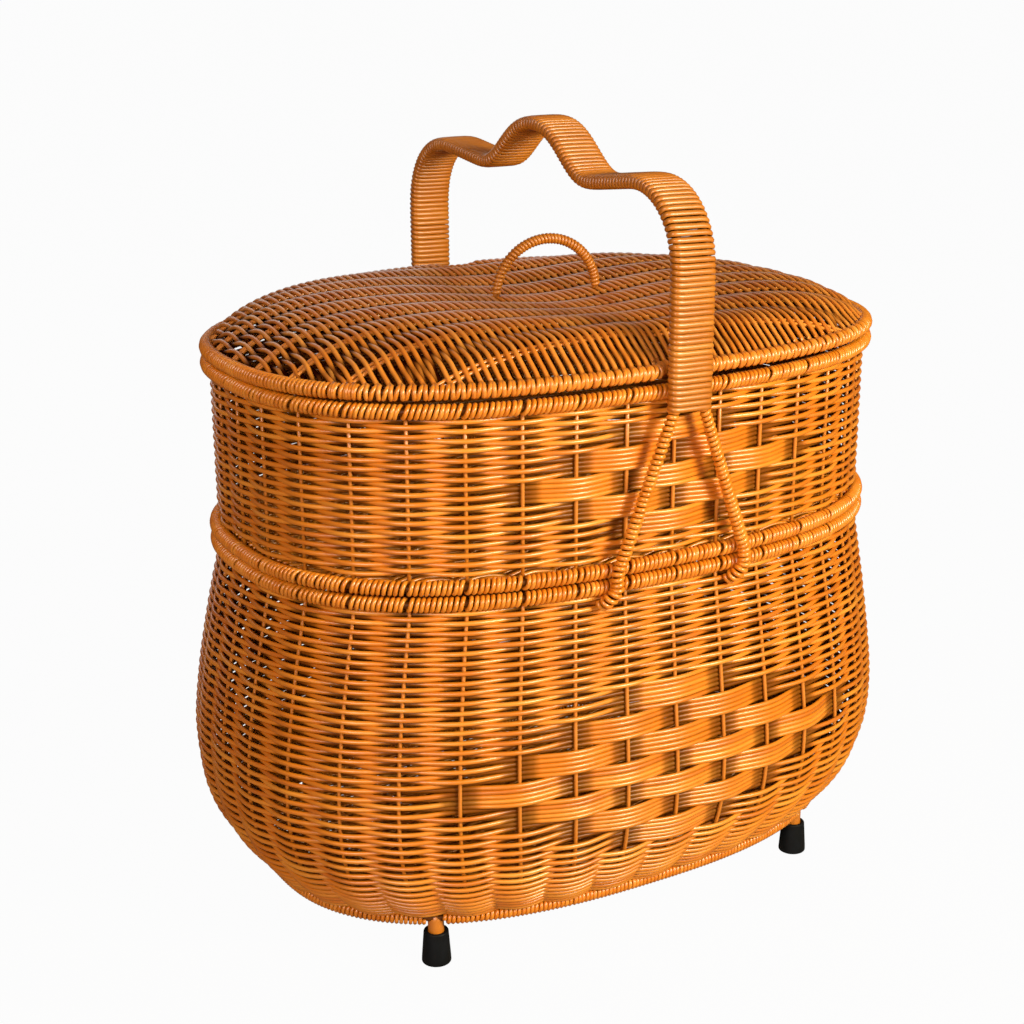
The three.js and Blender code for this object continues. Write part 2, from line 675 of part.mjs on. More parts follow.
// The lid's arched handle stands on the middle rib, through the skin.
function archPoints(from, to, steps) {
  const footHeight = LID_RIM_HEIGHT + domeRise(LID_HANDLE_HALF_SPAN, 0) + STAKE_RADIUS + CLEARANCE;
  return Array.from({ length: steps + 1 }, (_, i) => {
    const angle = (from + ((to - from) * i) / steps) * DEGREE;
    const x = -LID_HANDLE_HALF_SPAN * Math.cos(angle);
    return new THREE.Vector3(x, 0, footHeight + LID_HANDLE_RISE * Math.sin(angle));
  });
}

const archPath = archPoints(0, 180, ARCH_STEPS);
const archRod = tube(archPath, LID_HANDLE_ROD_RADIUS, ROD_SIDES, ALONG);
const rodRoom = (LID_HANDLE_ROD_RADIUS + CLEARANCE) / Math.cos(Math.PI / ROD_SIDES);
addPiece('lid_weave', cut(domeSkin(), [tube(archPath, rodRoom, ROD_SIDES, ALONG)]), lidCane);
addPiece('lid_handle_rod', archRod, coatedWire);

// The arch's binding starts where it clears the skin.
const archOutside = circle(LID_HANDLE_BINDING_RADIUS, SLEEVE_SIDES);
const archBore = circleAround(LID_HANDLE_ROD_RADIUS + CLEARANCE, SLEEVE_SIDES);
const archFrames = pathFrames(archPath, ALONG).slice(ARCH_BARE_STEPS, -ARCH_BARE_STEPS);
addPiece('lid_handle_binding', sleeve(
  archFrames.map((frame) => place(frame, archOutside)),
  archFrames.map((frame) => place(frame, archBore)),
), cane);

// Carrying handle

function crestRise(u) {
  return (1 + Math.cos(Math.PI * Math.abs(u) ** CREST_POWER)) / 2;
}

// Centre line of the band from the front foot to the back foot, as points of (y, z).
function bandLine() {
  const bendHeight = SHOULDER_HEIGHT - SHOULDER_RADIUS;
  const bend = arc(SHOULDER_RADIUS, 180, 90, SHOULDER_STEPS).map((p) => (
    new THREE.Vector2(p.x - HANDLE_PLANE + SHOULDER_RADIUS, p.y + bendHeight)
  ));
  const leg = [
    new THREE.Vector2(-HANDLE_PLANE, BAND_FOOT_HEIGHT),
    new THREE.Vector2(-HANDLE_PLANE, (BAND_FOOT_HEIGHT + bendHeight) / 2),
  ];
  const front = [...leg, ...bend];
  const back = front.map((p) => new THREE.Vector2(-p.x, p.y)).reverse();
  const crest = bothWays(CREST_SHARES).map((u) => new THREE.Vector2(
    CREST_OFFSET + u * CREST_HALF_WIDTH,
    VALLEY_HEIGHT + (CREST_HEIGHT - VALLEY_HEIGHT) * crestRise(u),
  ));
  return [...front, ...crest, ...back];
}

const bandPoints = bandLine();
const bandFrames = pathFrames(bandPoints.map((p) => new THREE.Vector3(0, p.x, p.y)), ALONG);

// Frame at a share of the way along the band, between its corner points.
const bandLengths = bandPoints.map((point, i) => (i ? point.distanceTo(bandPoints[i - 1]) : 0));
const bandMarks = bandLengths.map((_, i) => (
  bandLengths.slice(0, i + 1).reduce((sum, length) => sum + length)
));
const bandLength = bandMarks[bandMarks.length - 1];

function bandFrameAt(distance) {
  const d = THREE.MathUtils.clamp(distance, 0, bandLength);
  const found = bandMarks.findIndex((mark) => mark >= d);
  const i = THREE.MathUtils.clamp(found, 1, bandMarks.length - 1);
  const t = (d - bandMarks[i - 1]) / bandLengths[i];
  return {
    point: bandFrames[i - 1].point.clone().lerp(bandFrames[i].point, t),
    side: ALONG,
    across: bandFrames[i - 1].across.clone().lerp(bandFrames[i].across, t),
  };
}

// Flat oval of a band, with its corners cut.
function bandContour(width, thickness) {
  const w = width / 2;
  const t = thickness / 2;
  const corner = t / 2;
  const upperHalf = [[w, -corner], [w, corner], [w - corner, t], [corner - w, t]];
  const lowerHalf = upperHalf.map(([x, y]) => [-x, -y]);
  return [...upperHalf, ...lowerHalf].map(([x, y]) => new THREE.Vector2(x, y));
}

// The cane goes round the two rods in turns: each turn is a ridge, with a groove on either side.
function bandBinding() {
  const ridge = bandContour(BAND_WIDTH, BAND_THICKNESS);
  const groove = bandContour(BAND_WIDTH - 2 * BAND_GROOVE, BAND_THICKNESS - 2 * BAND_GROOVE);
  const boreWidth = HANDLE_ROD_SPACING + 2 * (HANDLE_ROD_RADIUS + CLEARANCE);
  const boreThickness = 2 * (HANDLE_ROD_RADIUS + CLEARANCE);
  const bore = bandContour(boreWidth + boreThickness / 4, boreThickness);
  const outer = Array.from({ length: 2 * BAND_TURNS + 1 }, (_, i) => (
    place(bandFrameAt((i * bandLength) / (2 * BAND_TURNS)), i % 2 ? ridge : groove)
  ));
  return sleeve(outer, bandFrames.map((frame) => place(frame, bore)));
}

addPiece('handle_band_binding', bandBinding(), cane);

// A leg slants from the band's foot to a hook that catches under the lower tier's rim.
// `right` is -1 or 1 along X, and `back` is -1 at the front leg and 1 at the back leg.
function legPoints(right, back) {
  const x = (right * LEG_FOOT_DISTANCE) / 2;
  const rimY = outlineDepth(RIM_HALF_LENGTH, RIM_HALF_DEPTH, x);
  const hookRadius = RIM_RADIUS + CLEARANCE + HANDLE_ROD_RADIUS;
  const hook = [-HOOK_DEGREES, 0].map((angle) => new THREE.Vector3(
    x,
    back * (rimY + hookRadius * Math.cos(angle * DEGREE)),
    LOWER_RIM_HEIGHT + hookRadius * Math.sin(angle * DEGREE),
  ));
  const plane = back * HANDLE_PLANE;
  return [
    ...hook,
    new THREE.Vector3(x, plane, LOWER_RIM_HEIGHT + LEG_FOOT_RISE),
    new THREE.Vector3((right * HANDLE_ROD_SPACING) / 2, plane, BAND_FOOT_HEIGHT - LEG_BINDING_GAP),
  ];
}

function handleRod(right) {
  const x = (right * HANDLE_ROD_SPACING) / 2;
  const band = bandPoints.map((p) => new THREE.Vector3(x, p.x, p.y));
  const path = [...legPoints(right, -1), ...band, ...legPoints(right, 1).reverse()];
  return tube(path, HANDLE_ROD_RADIUS, ROD_SIDES, ALONG);
}

// Each leg is bound by itself, from just above its hook to just below the band.
function legBinding(right, back) {
  const [low, high] = legPoints(right, back).slice(-2);
  const along = high.clone().sub(low).normalize();
  const start = low.clone().addScaledVector(along, LEG_BINDING_GAP);
  const end = high.clone().addScaledVector(along, -LEG_BINDING_GAP);
  const frames = pathFrames([start, end], ALONG);
  const outside = circle(LEG_BINDING_RADIUS, SLEEVE_SIDES);
  const bore = circleAround(HANDLE_ROD_RADIUS + CLEARANCE, SLEEVE_SIDES);
  return sleeve(
    frames.map((frame) => place(frame, outside)),
    frames.map((frame) => place(frame, bore)),
  );
}

for (const [sideName, right] of [['left', -1], ['right', 1]]) {
  addPiece(`handle_rod_${sideName}`, handleRod(right), coatedWire);
  for (const [endName, back] of [['front', -1], ['back', 1]]) {
    addPiece(`handle_leg_binding_${endName}_${sideName}`, legBinding(right, back), cane);
  }
}

export default basket;
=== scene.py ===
# %% [markdown]
# # A two-tier cane basket
# The basket is made of one thing, extruded cane about 2.5 mm thick, laid in four ways: woven between
# upright stakes, woven across the ribs of the lid, wound round rims, and wound round the carrying handle.
# So the whole model is one idea repeated: a path worked out as a formula, and a small circle carried
# along it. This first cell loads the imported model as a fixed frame. Every new piece stands in that frame.

# %% Load the frame
import math

import bpy
import numpy as np
from mathutils import Matrix


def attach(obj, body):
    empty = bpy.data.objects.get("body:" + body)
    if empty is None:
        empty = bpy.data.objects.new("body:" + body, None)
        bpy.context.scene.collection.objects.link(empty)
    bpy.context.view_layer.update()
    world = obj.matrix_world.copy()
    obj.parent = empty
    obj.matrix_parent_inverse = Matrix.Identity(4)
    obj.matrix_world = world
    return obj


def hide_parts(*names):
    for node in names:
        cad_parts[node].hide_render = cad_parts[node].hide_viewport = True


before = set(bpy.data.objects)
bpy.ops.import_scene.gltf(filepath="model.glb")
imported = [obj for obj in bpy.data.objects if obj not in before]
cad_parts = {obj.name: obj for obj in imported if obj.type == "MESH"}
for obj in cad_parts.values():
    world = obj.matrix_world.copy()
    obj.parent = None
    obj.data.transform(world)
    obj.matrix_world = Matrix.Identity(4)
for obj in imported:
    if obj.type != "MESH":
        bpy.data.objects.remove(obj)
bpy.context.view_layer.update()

MM = 0.001
FULL_TURN = 2 * np.pi

# %% [markdown]
# ## Sizes
# The rims follow a rounded oblong, |x/a|^n + |y/b|^n = 1, which is fuller than an ellipse. The lower tier
# swells from its base to a belly and draws in again under the rim. Pairs are half lengths and half depths
# in millimetres. They are the sizes of the solids, moved by a millimetre or two where the cane lies in or
# out of them.

# %% Sizes in millimetres
POWER = 2.5
RIM = (198.2, 135.7)
WALL = (194.8, 132.4)
BELLY = (212.9, 146.8)
BASE = (180.0, 116.0)
BASE_Z, BELLY_Z, NECK_Z = 29.5, 109.5, 221.0
BASE_CURVE, NECK_CURVE = 2.7, 1.35
HANG = 2.0
LOWER_RIM_Z, UPPER_FOOT_Z, UPPER_RIM_Z, LID_RIM_Z = 224.1, 233.2, 327.6, 336.7
RIM_RADIUS, BASE_BINDING_RADIUS = 4.4, 4.1
BASE_RING, BASE_RING_Z = (182.0, 118.0), 28.7
STAKES, STAKE_RADIUS = 36, 1.1
CANE_RADIUS = 1.25
UP = np.array([0.0, 0.0, 1.0])
print("belly", 2 * BELLY[0], "x", 2 * BELLY[1], "mm, rim wires", 2 * RIM[0], "x", 2 * RIM[1], "mm")

# %% [markdown]
# ## From formula to mesh
# A strand is a circle carried along a path. Blender's curves with a bevel do that too, but thousands of
# them are slow and cannot carry a number for each point. Here many strands are made at once: the paths
# are one array of (strands, steps, 3), the circle adds a fourth index, and the faces are the same pattern
# of four neighbours everywhere. Each mesh keeps a UV map, with the length along the strand in U and the
# way round it in V, and a "tone", so that a material can follow the cane and no two strands look quite
# alike. A "depth" says how far a point lies back in the weave, from 0 on the outside to 1 behind, and
# the material paints shade with it: the deeper a point, the darker its cane is painted.

# %% Directions, points and faces
def unit(v):
    """Each vector divided by its own length."""
    return v / np.maximum(np.linalg.norm(v, axis=-1, keepdims=True), 1e-12)


def points_at(x, y, z):
    """Three coordinates, made one shape, as points."""
    return np.stack(np.broadcast_arrays(x, y, z), -1)


def slopes(points, closed):
    """Direction of each path at each step: the next point minus the one before."""
    if closed:
        return unit(np.roll(points, -1, axis=1) - np.roll(points, 1, axis=1))
    ahead = np.concatenate([points[:, 1:], points[:, -1:]], axis=1)
    behind = np.concatenate([points[:, :1], points[:, :-1]], axis=1)
    return unit(ahead - behind)


def ring_faces(here, there):
    """Faces between two rings of points: a point here, the next here, the next there, and the one there."""
    corners = [here, np.roll(here, -1, -1), np.roll(there, -1, -1), there]
    return np.stack(corners, -1).reshape(-1, 4)


def end_faces(first, last, pole):
    """Triangles that close both ends: point `pole` fans out to the first ring, `pole + 1` to the last."""
    low = np.stack([np.broadcast_to(pole, first.shape), np.roll(first, -1, -1), first], -1)
    high = np.stack([np.broadcast_to(pole + 1, last.shape), last, np.roll(last, -1, -1)], -1)
    return np.concatenate([low.reshape(-1, 3), high.reshape(-1, 3)])


def strand_map(points, sides, spans):
    """UV of each face corner: length along the path in U, share of the way round it in V."""
    gaps = np.linalg.norm(np.diff(points, axis=1, append=points[:, :1]), axis=-1)[:, :spans, None]
    begin = np.cumsum(gaps, axis=1) - gaps
    round_it = np.arange(sides) / sides
    u0, u1, v0, v1 = np.broadcast_arrays(begin, begin + gaps, round_it, round_it + 1 / sides)
    corners = [np.stack(corner, -1) for corner in ((u0, v0), (u0, v1), (u1, v1), (u1, v0))]
    return np.stack(corners, axis=-2).reshape(-1, 2)


print("one turn of six points has", len(ring_faces(np.arange(6), np.arange(6, 12))), "faces")

# %% Carry a circle along paths
# Painted shade: the side of a strand that faces in, and its domed ends, are given depth, so their cane is
# painted darker.
INNER_SIDE_SHADE, END_SHADE = 0.8, 0.5
END_DOME = 0.45


def sweep(points, outward, radius, sides, closed, tone, flat=1.0, depth=0.0):
    """Point on a strand = path + radius (cos t * side + flat * sin t * across), for t round the circle.

    side is `outward` made square to the path, across is square to both. Open ends get a low dome. As
    painted shade, the side that faces in is painted deeper than the path by a share of -cos t, and the
    ends get a fixed depth. radius, tone, flat and depth may each be one number, or differ for each strand
    and step.
    """
    points = np.asarray(points, float)
    strands, steps, _ = points.shape
    along = slopes(points, closed)
    outward = np.broadcast_to(np.asarray(outward, float), points.shape)
    side = unit(outward - (outward * along).sum(-1, keepdims=True) * along)
    across = np.cross(along, side)
    size, flat, tone, depth = (np.broadcast_to(np.asarray(v, float), (strands, steps))[..., None]
                               for v in (radius, flat, tone, depth))
    turn = np.arange(sides) * FULL_TURN / sides
    ring = np.cos(turn)[:, None] * side[:, :, None]
    ring = ring + flat[..., None] * np.sin(turn)[:, None] * across[:, :, None]
    verts = (points[:, :, None] + size[..., None] * ring).reshape(-1, 3)

    index = np.arange(strands * steps * sides).reshape(strands, steps, sides)
    spans = steps if closed else steps - 1
    quads = ring_faces(index[:, :spans], np.roll(index, -1, axis=1)[:, :spans])
    uv = strand_map(points, sides, spans)
    tones = np.repeat(tone, sides)
    depths = np.clip(depth + INNER_SIDE_SHADE * np.maximum(-np.cos(turn), 0), 0, 1).ravel()
    tris = np.zeros((0, 3), int)
    if not closed:
        domes = size[:, [0, -1]] * END_DOME * along[:, [0, -1]] * np.array([-1, 1])[:, None]
        tris = end_faces(index[:, 0], index[:, -1], len(verts) + 2 * np.arange(strands)[:, None])
        verts = np.concatenate([verts, (points[:, [0, -1]] + domes).reshape(-1, 3)])
        tones = np.concatenate([tones, tone[:, [0, -1]].ravel()])
        depths = np.concatenate([depths, np.full(2 * strands, END_SHADE)])
        uv = np.concatenate([uv, np.zeros((3 * len(tris), 2))])
    return {"verts": verts, "quads": quads, "tris": tris, "uv": uv, "tone": tones, "depth": depths}


trial = sweep([[[0, 0, 0], [0, 0, 1], [0, 0, 2]]], [1, 0, 0], 1.0, 6, False, 0.5)
print("a trial strand has", len(trial["quads"]), "side faces and", len(trial["tris"]), "end faces")


# %% Put arrays into a mesh
def join(parts):
    """Several swept shapes as one: the later ones' indices are raised by the points before them."""
    offsets = np.cumsum([0] + [len(p["verts"]) for p in parts[:-1]])
    quad_uv = [p["uv"][: 4 * len(p["quads"])] for p in parts]
    tri_uv = [p["uv"][4 * len(p["quads"]):] for p in parts]
    whole = {key: np.concatenate([p[key] for p in parts]) for key in ("verts", "tone", "depth")}
    for key in ("quads", "tris"):
        whole[key] = np.concatenate([p[key] + offset for p, offset in zip(parts, offsets)])
    return {**whole, "uv": np.concatenate(quad_uv + tri_uv)}


def piece(name, shape, material, body, slot, *nodes):
    """Writes a swept shape, in millimetres, into a mesh in metres and binds it to the frame."""
    quads, tris = shape["quads"], shape["tris"]
    corners = np.concatenate([quads.ravel(), tris.ravel()]).astype(np.int32)
    starts = np.concatenate([4 * np.arange(len(quads)), 4 * len(quads) + 3 * np.arange(len(tris))])
    mesh = bpy.data.meshes.new(name)
    mesh.vertices.add(len(shape["verts"]))
    mesh.vertices.foreach_set("co", (shape["verts"] * MM).astype(np.float32).ravel())
    mesh.loops.add(len(corners))
    mesh.loops.foreach_set("vertex_index", corners)
    mesh.polygons.add(len(starts))
    mesh.polygons.foreach_set("loop_start", starts.astype(np.int32))
    mesh.polygons.foreach_set("use_smooth", np.ones(len(starts), bool))
    mesh.update(calc_edges=True)
    layer = mesh.uv_layers.new(name="strand")
    layer.uv.foreach_set("vector", (shape["uv"] * [MM, 1]).astype(np.float32).ravel())
    for key in ("tone", "depth"):
        mesh.attributes.new(key, "FLOAT", "POINT").data.foreach_set("value", shape[key].astype(np.float32))
    mesh.materials.append(material)
    mesh.validate()
    obj = bpy.data.objects.new(name, mesh)
    bpy.context.scene.collection.objects.link(obj)
    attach(obj, body)
    if nodes:
        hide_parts(*nodes)
    print(f"{name}: {2 * len(quads) + len(tris)} triangles")
    return obj


# %% [markdown]
# ## Camera
# The camera stands where the photographer stood: in front, to the left and a little above, with a long
# lens. It could be aimed with a constraint, but a matrix of its three axes and its place says the same
# and stays put. The lens is worked out from the focal length in pixels, and a small shift puts the object
# where it is in the frame.

# %% Camera
CAMERA_AZIMUTH, CAMERA_ELEVATION, CAMERA_ROLL = -31.21, 18.71, 0.075
CAMERA_DISTANCE, CAMERA_TARGET_Z = 1100.0, 200.0
FOCAL_PIXELS, CENTRE_X, CENTRE_Y = 1794.3, 545.9, 547.0
IMAGE_PIXELS, SENSOR = 1024, 36.0


def standing(right, up, back, place):
    """The matrix of a thing that looks along -back: three axes and a place as its columns."""
    matrix = np.eye(4)
    matrix[:3] = np.stack([right, up, back, place], axis=1)
    return Matrix(matrix.tolist())


azimuth, elevation, roll = np.radians([CAMERA_AZIMUTH, CAMERA_ELEVATION, CAMERA_ROLL])
level = math.cos(elevation)
back = np.array([math.sin(azimuth) * level, -math.cos(azimuth) * level, math.sin(elevation)])
right = np.array([math.cos(azimuth), math.sin(azimuth), 0.0])
up = np.cross(back, right)
eye = (CAMERA_TARGET_Z * UP + CAMERA_DISTANCE * back) * MM

camera = bpy.data.objects.new("camera", bpy.data.cameras.new("camera"))
bpy.context.scene.collection.objects.link(camera)
camera.matrix_world = standing(math.cos(roll) * right + math.sin(roll) * up,
                               math.cos(roll) * up - math.sin(roll) * right, back, eye)
camera.data.sensor_width = SENSOR
camera.data.lens = SENSOR * FOCAL_PIXELS / IMAGE_PIXELS
camera.data.shift_x = (IMAGE_PIXELS / 2 - CENTRE_X) / IMAGE_PIXELS
camera.data.shift_y = (CENTRE_Y - IMAGE_PIXELS / 2) / IMAGE_PIXELS
bpy.context.scene.camera = camera
print("camera at", [round(v, 3) for v in eye], "lens", round(camera.data.lens, 2))

# %% [markdown]
# ## Floor, world and lamps
# The basket stands on a sweep of white paper. More light would make the paper white but would bleach the
# cane, so the floor and the world are white to the camera only, and the object keeps plain studio light.
# Under the basket, where little light comes, the paper keeps its own grey and shows as shade. A small
# warm lamp from the front right draws the highlights, a large one from the left fills, and a weak one
# from behind lifts the back of the lid.

# %% Colour and node helpers
def linear(code):
    """An sRGB hex colour as linear red, green, blue and 1."""
    srgb = np.array([int(code[i:i + 2], 16) for i in (1, 3, 5)]) / 255
    return (*np.where(srgb <= 0.04045, srgb / 12.92, ((srgb + 0.055) / 1.055) ** 2.4), 1.0)


def add(tree, kind, links=(), **values):
    """Adds one node. values set its properties or inputs by name.

    links are (input, node, output) triples, or (input, value) pairs for an input without a name of its own.
    """
    node = tree.nodes.new(kind)
    for key, value in values.items():
        if hasattr(node, key):
            setattr(node, key, value)
        else:
            node.inputs[key.replace("_", " ")].default_value = value
    for socket, source, *output in links:
        if output:
            tree.links.new(source.outputs[output[0]], node.inputs[socket])
        else:
            node.inputs[socket].default_value = source
    return node


def new_material(name):
    """An empty node material and its tree."""
    material = bpy.data.materials.new(name)
    material.use_nodes = True
    material.node_tree.nodes.clear()
    return material, material.node_tree


WHITE = linear("#FFFFFF")
print("the middle grey #808080 is", round(linear("#808080")[0], 3), "in linear light")

# %% Floor
FLOOR_HALF = 60.0
FLOOR_WHITE_SHARE = 0.97
SHADE_CENTRE, SHADE_HALF, SHADE_SOFT_FROM = (0.02, 0.035, 0.0), (0.135, 0.075, 1.0), 0.85

floor_material, tree = new_material("white_paper_sweep")
paper = add(tree, "ShaderNodeBsdfDiffuse", Color=linear("#8C8884"))
glow = add(tree, "ShaderNodeEmission", Color=WHITE, Strength=1.0)
ground = add(tree, "ShaderNodeTexCoord")
under = add(tree, "ShaderNodeMapping", [("Vector", ground, "Object")], vector_type="TEXTURE",
            Location=SHADE_CENTRE, Scale=SHADE_HALF)
away = add(tree, "ShaderNodeVectorMath", [(0, under, 0)], operation="LENGTH")
beyond = add(tree, "ShaderNodeMapRange", [("Value", away, "Value")], From_Min=SHADE_SOFT_FROM, From_Max=1.0,
             To_Max=FLOOR_WHITE_SHARE)
rays = add(tree, "ShaderNodeLightPath")
share = add(tree, "ShaderNodeMath", [(0, rays, "Is Camera Ray"), (1, beyond, 0)], operation="MULTIPLY")
mixed = add(tree, "ShaderNodeMixShader", [(0, share, 0), (1, paper, 0), (2, glow, 0)])
add(tree, "ShaderNodeOutputMaterial", [("Surface", mixed, 0)])

floor_mesh = bpy.data.meshes.new("floor")
corners = np.array([[-1, -1, 0], [1, -1, 0], [1, 1, 0], [-1, 1, 0]]) * FLOOR_HALF
floor_mesh.from_pydata(corners.tolist(), [], [(0, 1, 2, 3)])
floor_mesh.materials.append(floor_material)
floor = bpy.data.objects.new("floor", floor_mesh)
bpy.context.scene.collection.objects.link(floor)
print("floor of", floor_material.name, 2 * FLOOR_HALF, "m wide")

# %% World
WORLD_LEVEL = 0.10
world = bpy.data.worlds.new("studio")
bpy.context.scene.world = world
world.use_nodes = True
tree = world.node_tree
tree.nodes.clear()
room = add(tree, "ShaderNodeBackground", Color=linear("#F6F4F2"), Strength=WORLD_LEVEL)
white = add(tree, "ShaderNodeBackground", Color=WHITE, Strength=1.0)
rays = add(tree, "ShaderNodeLightPath")
chosen = add(tree, "ShaderNodeMixShader", [(0, rays, "Is Camera Ray"), (1, room, 0), (2, white, 0)])
add(tree, "ShaderNodeOutputWorld", [("Surface", chosen, 0)])
bpy.context.scene.view_settings.view_transform = "Standard"
print("world lights the object at", WORLD_LEVEL)


# %% Lamps
def lamp(name, place, aim, size, watts, tint):
    """A square soft lamp at a place, turned towards a point, in metres."""
    data = bpy.data.lights.new(name, "AREA")
    data.size, data.energy, data.color = size, watts, linear(tint)[:3]
    obj = bpy.data.objects.new(name, data)
    bpy.context.scene.collection.objects.link(obj)
    away = unit(np.array(place, float) - np.array(aim, float))
    sideways = unit(np.cross(UP, away))
    obj.matrix_world = standing(sideways, np.cross(away, sideways), away, place)
    print(f"{name}: {watts} W, {size} m")


lamp("key_front_right", (0.32, -1.02, 0.66), (0, 0, 0.22), 0.35, 16, "#FFF5D4")
lamp("fill_front_left", (-1.5, -1.4, 0.95), (0, 0, 0.2), 1.0, 27, "#FFE8D6")
lamp("back_low", (0.2, 1.6, 1.05), (0, 0, 0.3), 1.2, 4.5, "#FFFFFF")

# %% [markdown]
# ## Finishes
# The cane is polyethylene, extruded through a round die and dyed through. That gives a satin skin, a soft
# highlight along the upper side of each strand, faint lines along its length, and a slow drift of colour
# from one strand to the next. The stakes and rods have the same plastic as a dipped coat, a little
# duller. The feet are moulded rubber, matt and nearly black. A photograph of cane laid on the mesh would
# be quicker, but it would slide and stretch; nodes that read the strand's own length, tone and depth
# follow every bend.

# %% Cane
DRIFT_MM, DRIFT_SHARE = 14.0, 0.45
TONE_STOPS = (0.15, 0.55, 1.0)
# Painted shade: the near black that the depth attribute mixes into the cane.
PAINTED_SHADE_COLOUR = "#2B0B02"
# The die leaves lines about 0.1 mm apart and a grit finer still. Both are drawn coarser, so that they show.
STREAK_MM, LINES_ROUND = 1000 / 60, 9.0
GRIT_MM = 0.7
BUMP_STRENGTH, BUMP_MM = 0.18, 0.12
SMOOTHER, ROUGHER = 0.06, 0.08
POLYETHYLENE_IOR, SHEEN_LEVEL = 1.51, 0.95


def cane(name, dark, middle, light, roughness):
    """Colour = ramp(strand tone + slow drift), darkened by depth; bump = fine lines + grit.

    The gloss falls with depth too, so that the painted shade shows no reflection.
    """
    material, tree = new_material(name)
    tone = add(tree, "ShaderNodeAttribute", attribute_name="tone")
    depth = add(tree, "ShaderNodeAttribute", attribute_name="depth")
    strand = add(tree, "ShaderNodeUVMap", uv_map="strand")
    place = add(tree, "ShaderNodeTexCoord")
    drift = add(tree, "ShaderNodeTexNoise", [("Vector", place, "Object")], Detail=2.0,
                Scale=1 / (DRIFT_MM * MM))
    mix = add(tree, "ShaderNodeMath", [(0, drift, 0), (1, DRIFT_SHARE), (2, tone, "Fac")],
              operation="MULTIPLY_ADD")
    ramp = add(tree, "ShaderNodeValToRGB", [("Fac", mix, 0)])
    ramp.color_ramp.elements.new(TONE_STOPS[1])
    for stop, position, code in zip(ramp.color_ramp.elements, TONE_STOPS, (dark, middle, light)):
        stop.position, stop.color = position, linear(code)
    # Painted shade: the ramp's colour is mixed towards the shade colour as far as the depth attribute goes.
    painted_shade = add(tree, "ShaderNodeMix", [
        ("Factor", depth, "Fac"), (6, ramp, "Color"), (7, linear(PAINTED_SHADE_COLOUR))], data_type="RGBA")
    stretch = add(tree, "ShaderNodeMapping", [("Vector", strand, 0)],
                  Scale=(1 / (STREAK_MM * MM), LINES_ROUND, 1.0))
    lines = add(tree, "ShaderNodeTexNoise", [("Vector", stretch, 0)], Scale=1.0, Detail=1.0)
    grit = add(tree, "ShaderNodeTexNoise", [("Vector", place, "Object")], Detail=1.0,
               Scale=1 / (GRIT_MM * MM))
    height = add(tree, "ShaderNodeMath", [(0, lines, 0), (1, grit, 0)], operation="ADD")
    bump = add(tree, "ShaderNodeBump", [("Height", height, 0)], Strength=BUMP_STRENGTH,
               Distance=BUMP_MM * MM)
    rough = add(tree, "ShaderNodeMapRange", [("Value", grit, 0)], To_Min=roughness - SMOOTHER,
                To_Max=roughness + ROUGHER)
    sheen = add(tree, "ShaderNodeMath", [(0, depth, "Fac"), (1, -SHEEN_LEVEL), (2, SHEEN_LEVEL)],
                operation="MULTIPLY_ADD")
    shader = add(tree, "ShaderNodeBsdfPrincipled", [
        ("Base Color", painted_shade, 2), ("Roughness", rough, 0), ("Normal", bump, 0),
        ("Specular IOR Level", sheen, 0)], IOR=POLYETHYLENE_IOR)
    add(tree, "ShaderNodeOutputMaterial", [("Surface", shader, 0)])
    print(f"{name}: {dark} to {light}, roughness {roughness}")
    return material


# %% The canes of this basket
# Walls and rims are the clean amber of new cane. The lid is drawn a little browner and greyer, a painted
# shade and sheen for its top, which takes less light, and the handle is drawn darker, a painted shade.
wall_cane = cane("satin_polyethylene_wall_cane", "#C6690A", "#DB7D0F", "#ED9C30", 0.33)
rim_cane = cane("satin_polyethylene_rim_cane", "#C6690A", "#DF8114", "#EF9D36", 0.30)
handle_cane = cane("satin_polyethylene_handle_cane", "#A5590A", "#BB6C10", "#CF8328", 0.36)
lid_cane = cane("satin_polyethylene_lid_cane", "#C46A1A", "#DB801F", "#EC9C3E", 0.33)
wire_coat = cane("dipped_polyethylene_wire_coat", "#C06A12", "#D17C1E", "#E39238", 0.36)

# %% [markdown]
# The caps on the feet are rubber, pressed in a mould that was blasted with sand. It is nearly black, with
# a faint cloudy bloom, and its grain breaks up every highlight. One black colour would look like a hole
# in the picture, so a slow noise drifts between two near blacks and a fine one gives the grain.

# %% Rubber
BLOOM_MM, BLOOM_STOPS, BLOOM_COLOURS = 6.0, (0.3, 0.75), ("#06080B", "#0E1218")
# The grain of the mould is about 0.1 mm, and is drawn coarser so that it shows.
GRAIN_MM, GRAIN_STRENGTH, GRAIN_DEPTH_MM = 0.6, 0.25, 0.1
rubber, tree = new_material("moulded_black_rubber")
place = add(tree, "ShaderNodeTexCoord")
bloom = add(tree, "ShaderNodeTexNoise", [("Vector", place, "Object")], Detail=3.0,
            Scale=1 / (BLOOM_MM * MM))
shade = add(tree, "ShaderNodeValToRGB", [("Fac", bloom, 0)])
for stop, position, code in zip(shade.color_ramp.elements, BLOOM_STOPS, BLOOM_COLOURS):
    stop.position, stop.color = position, linear(code)
grain = add(tree, "ShaderNodeTexNoise", [("Vector", place, "Object")], Detail=2.0,
            Scale=1 / (GRAIN_MM * MM))
skin = add(tree, "ShaderNodeBump", [("Height", grain, 0)], Strength=GRAIN_STRENGTH,
           Distance=GRAIN_DEPTH_MM * MM)
matt = add(tree, "ShaderNodeBsdfPrincipled", [("Base Color", shade, "Color"), ("Normal", skin, 0)],
           Roughness=0.55, Specular_IOR_Level=0.2)
add(tree, "ShaderNodeOutputMaterial", [("Surface", matt, 0)])
print("materials:", [material.name for material in bpy.data.materials])

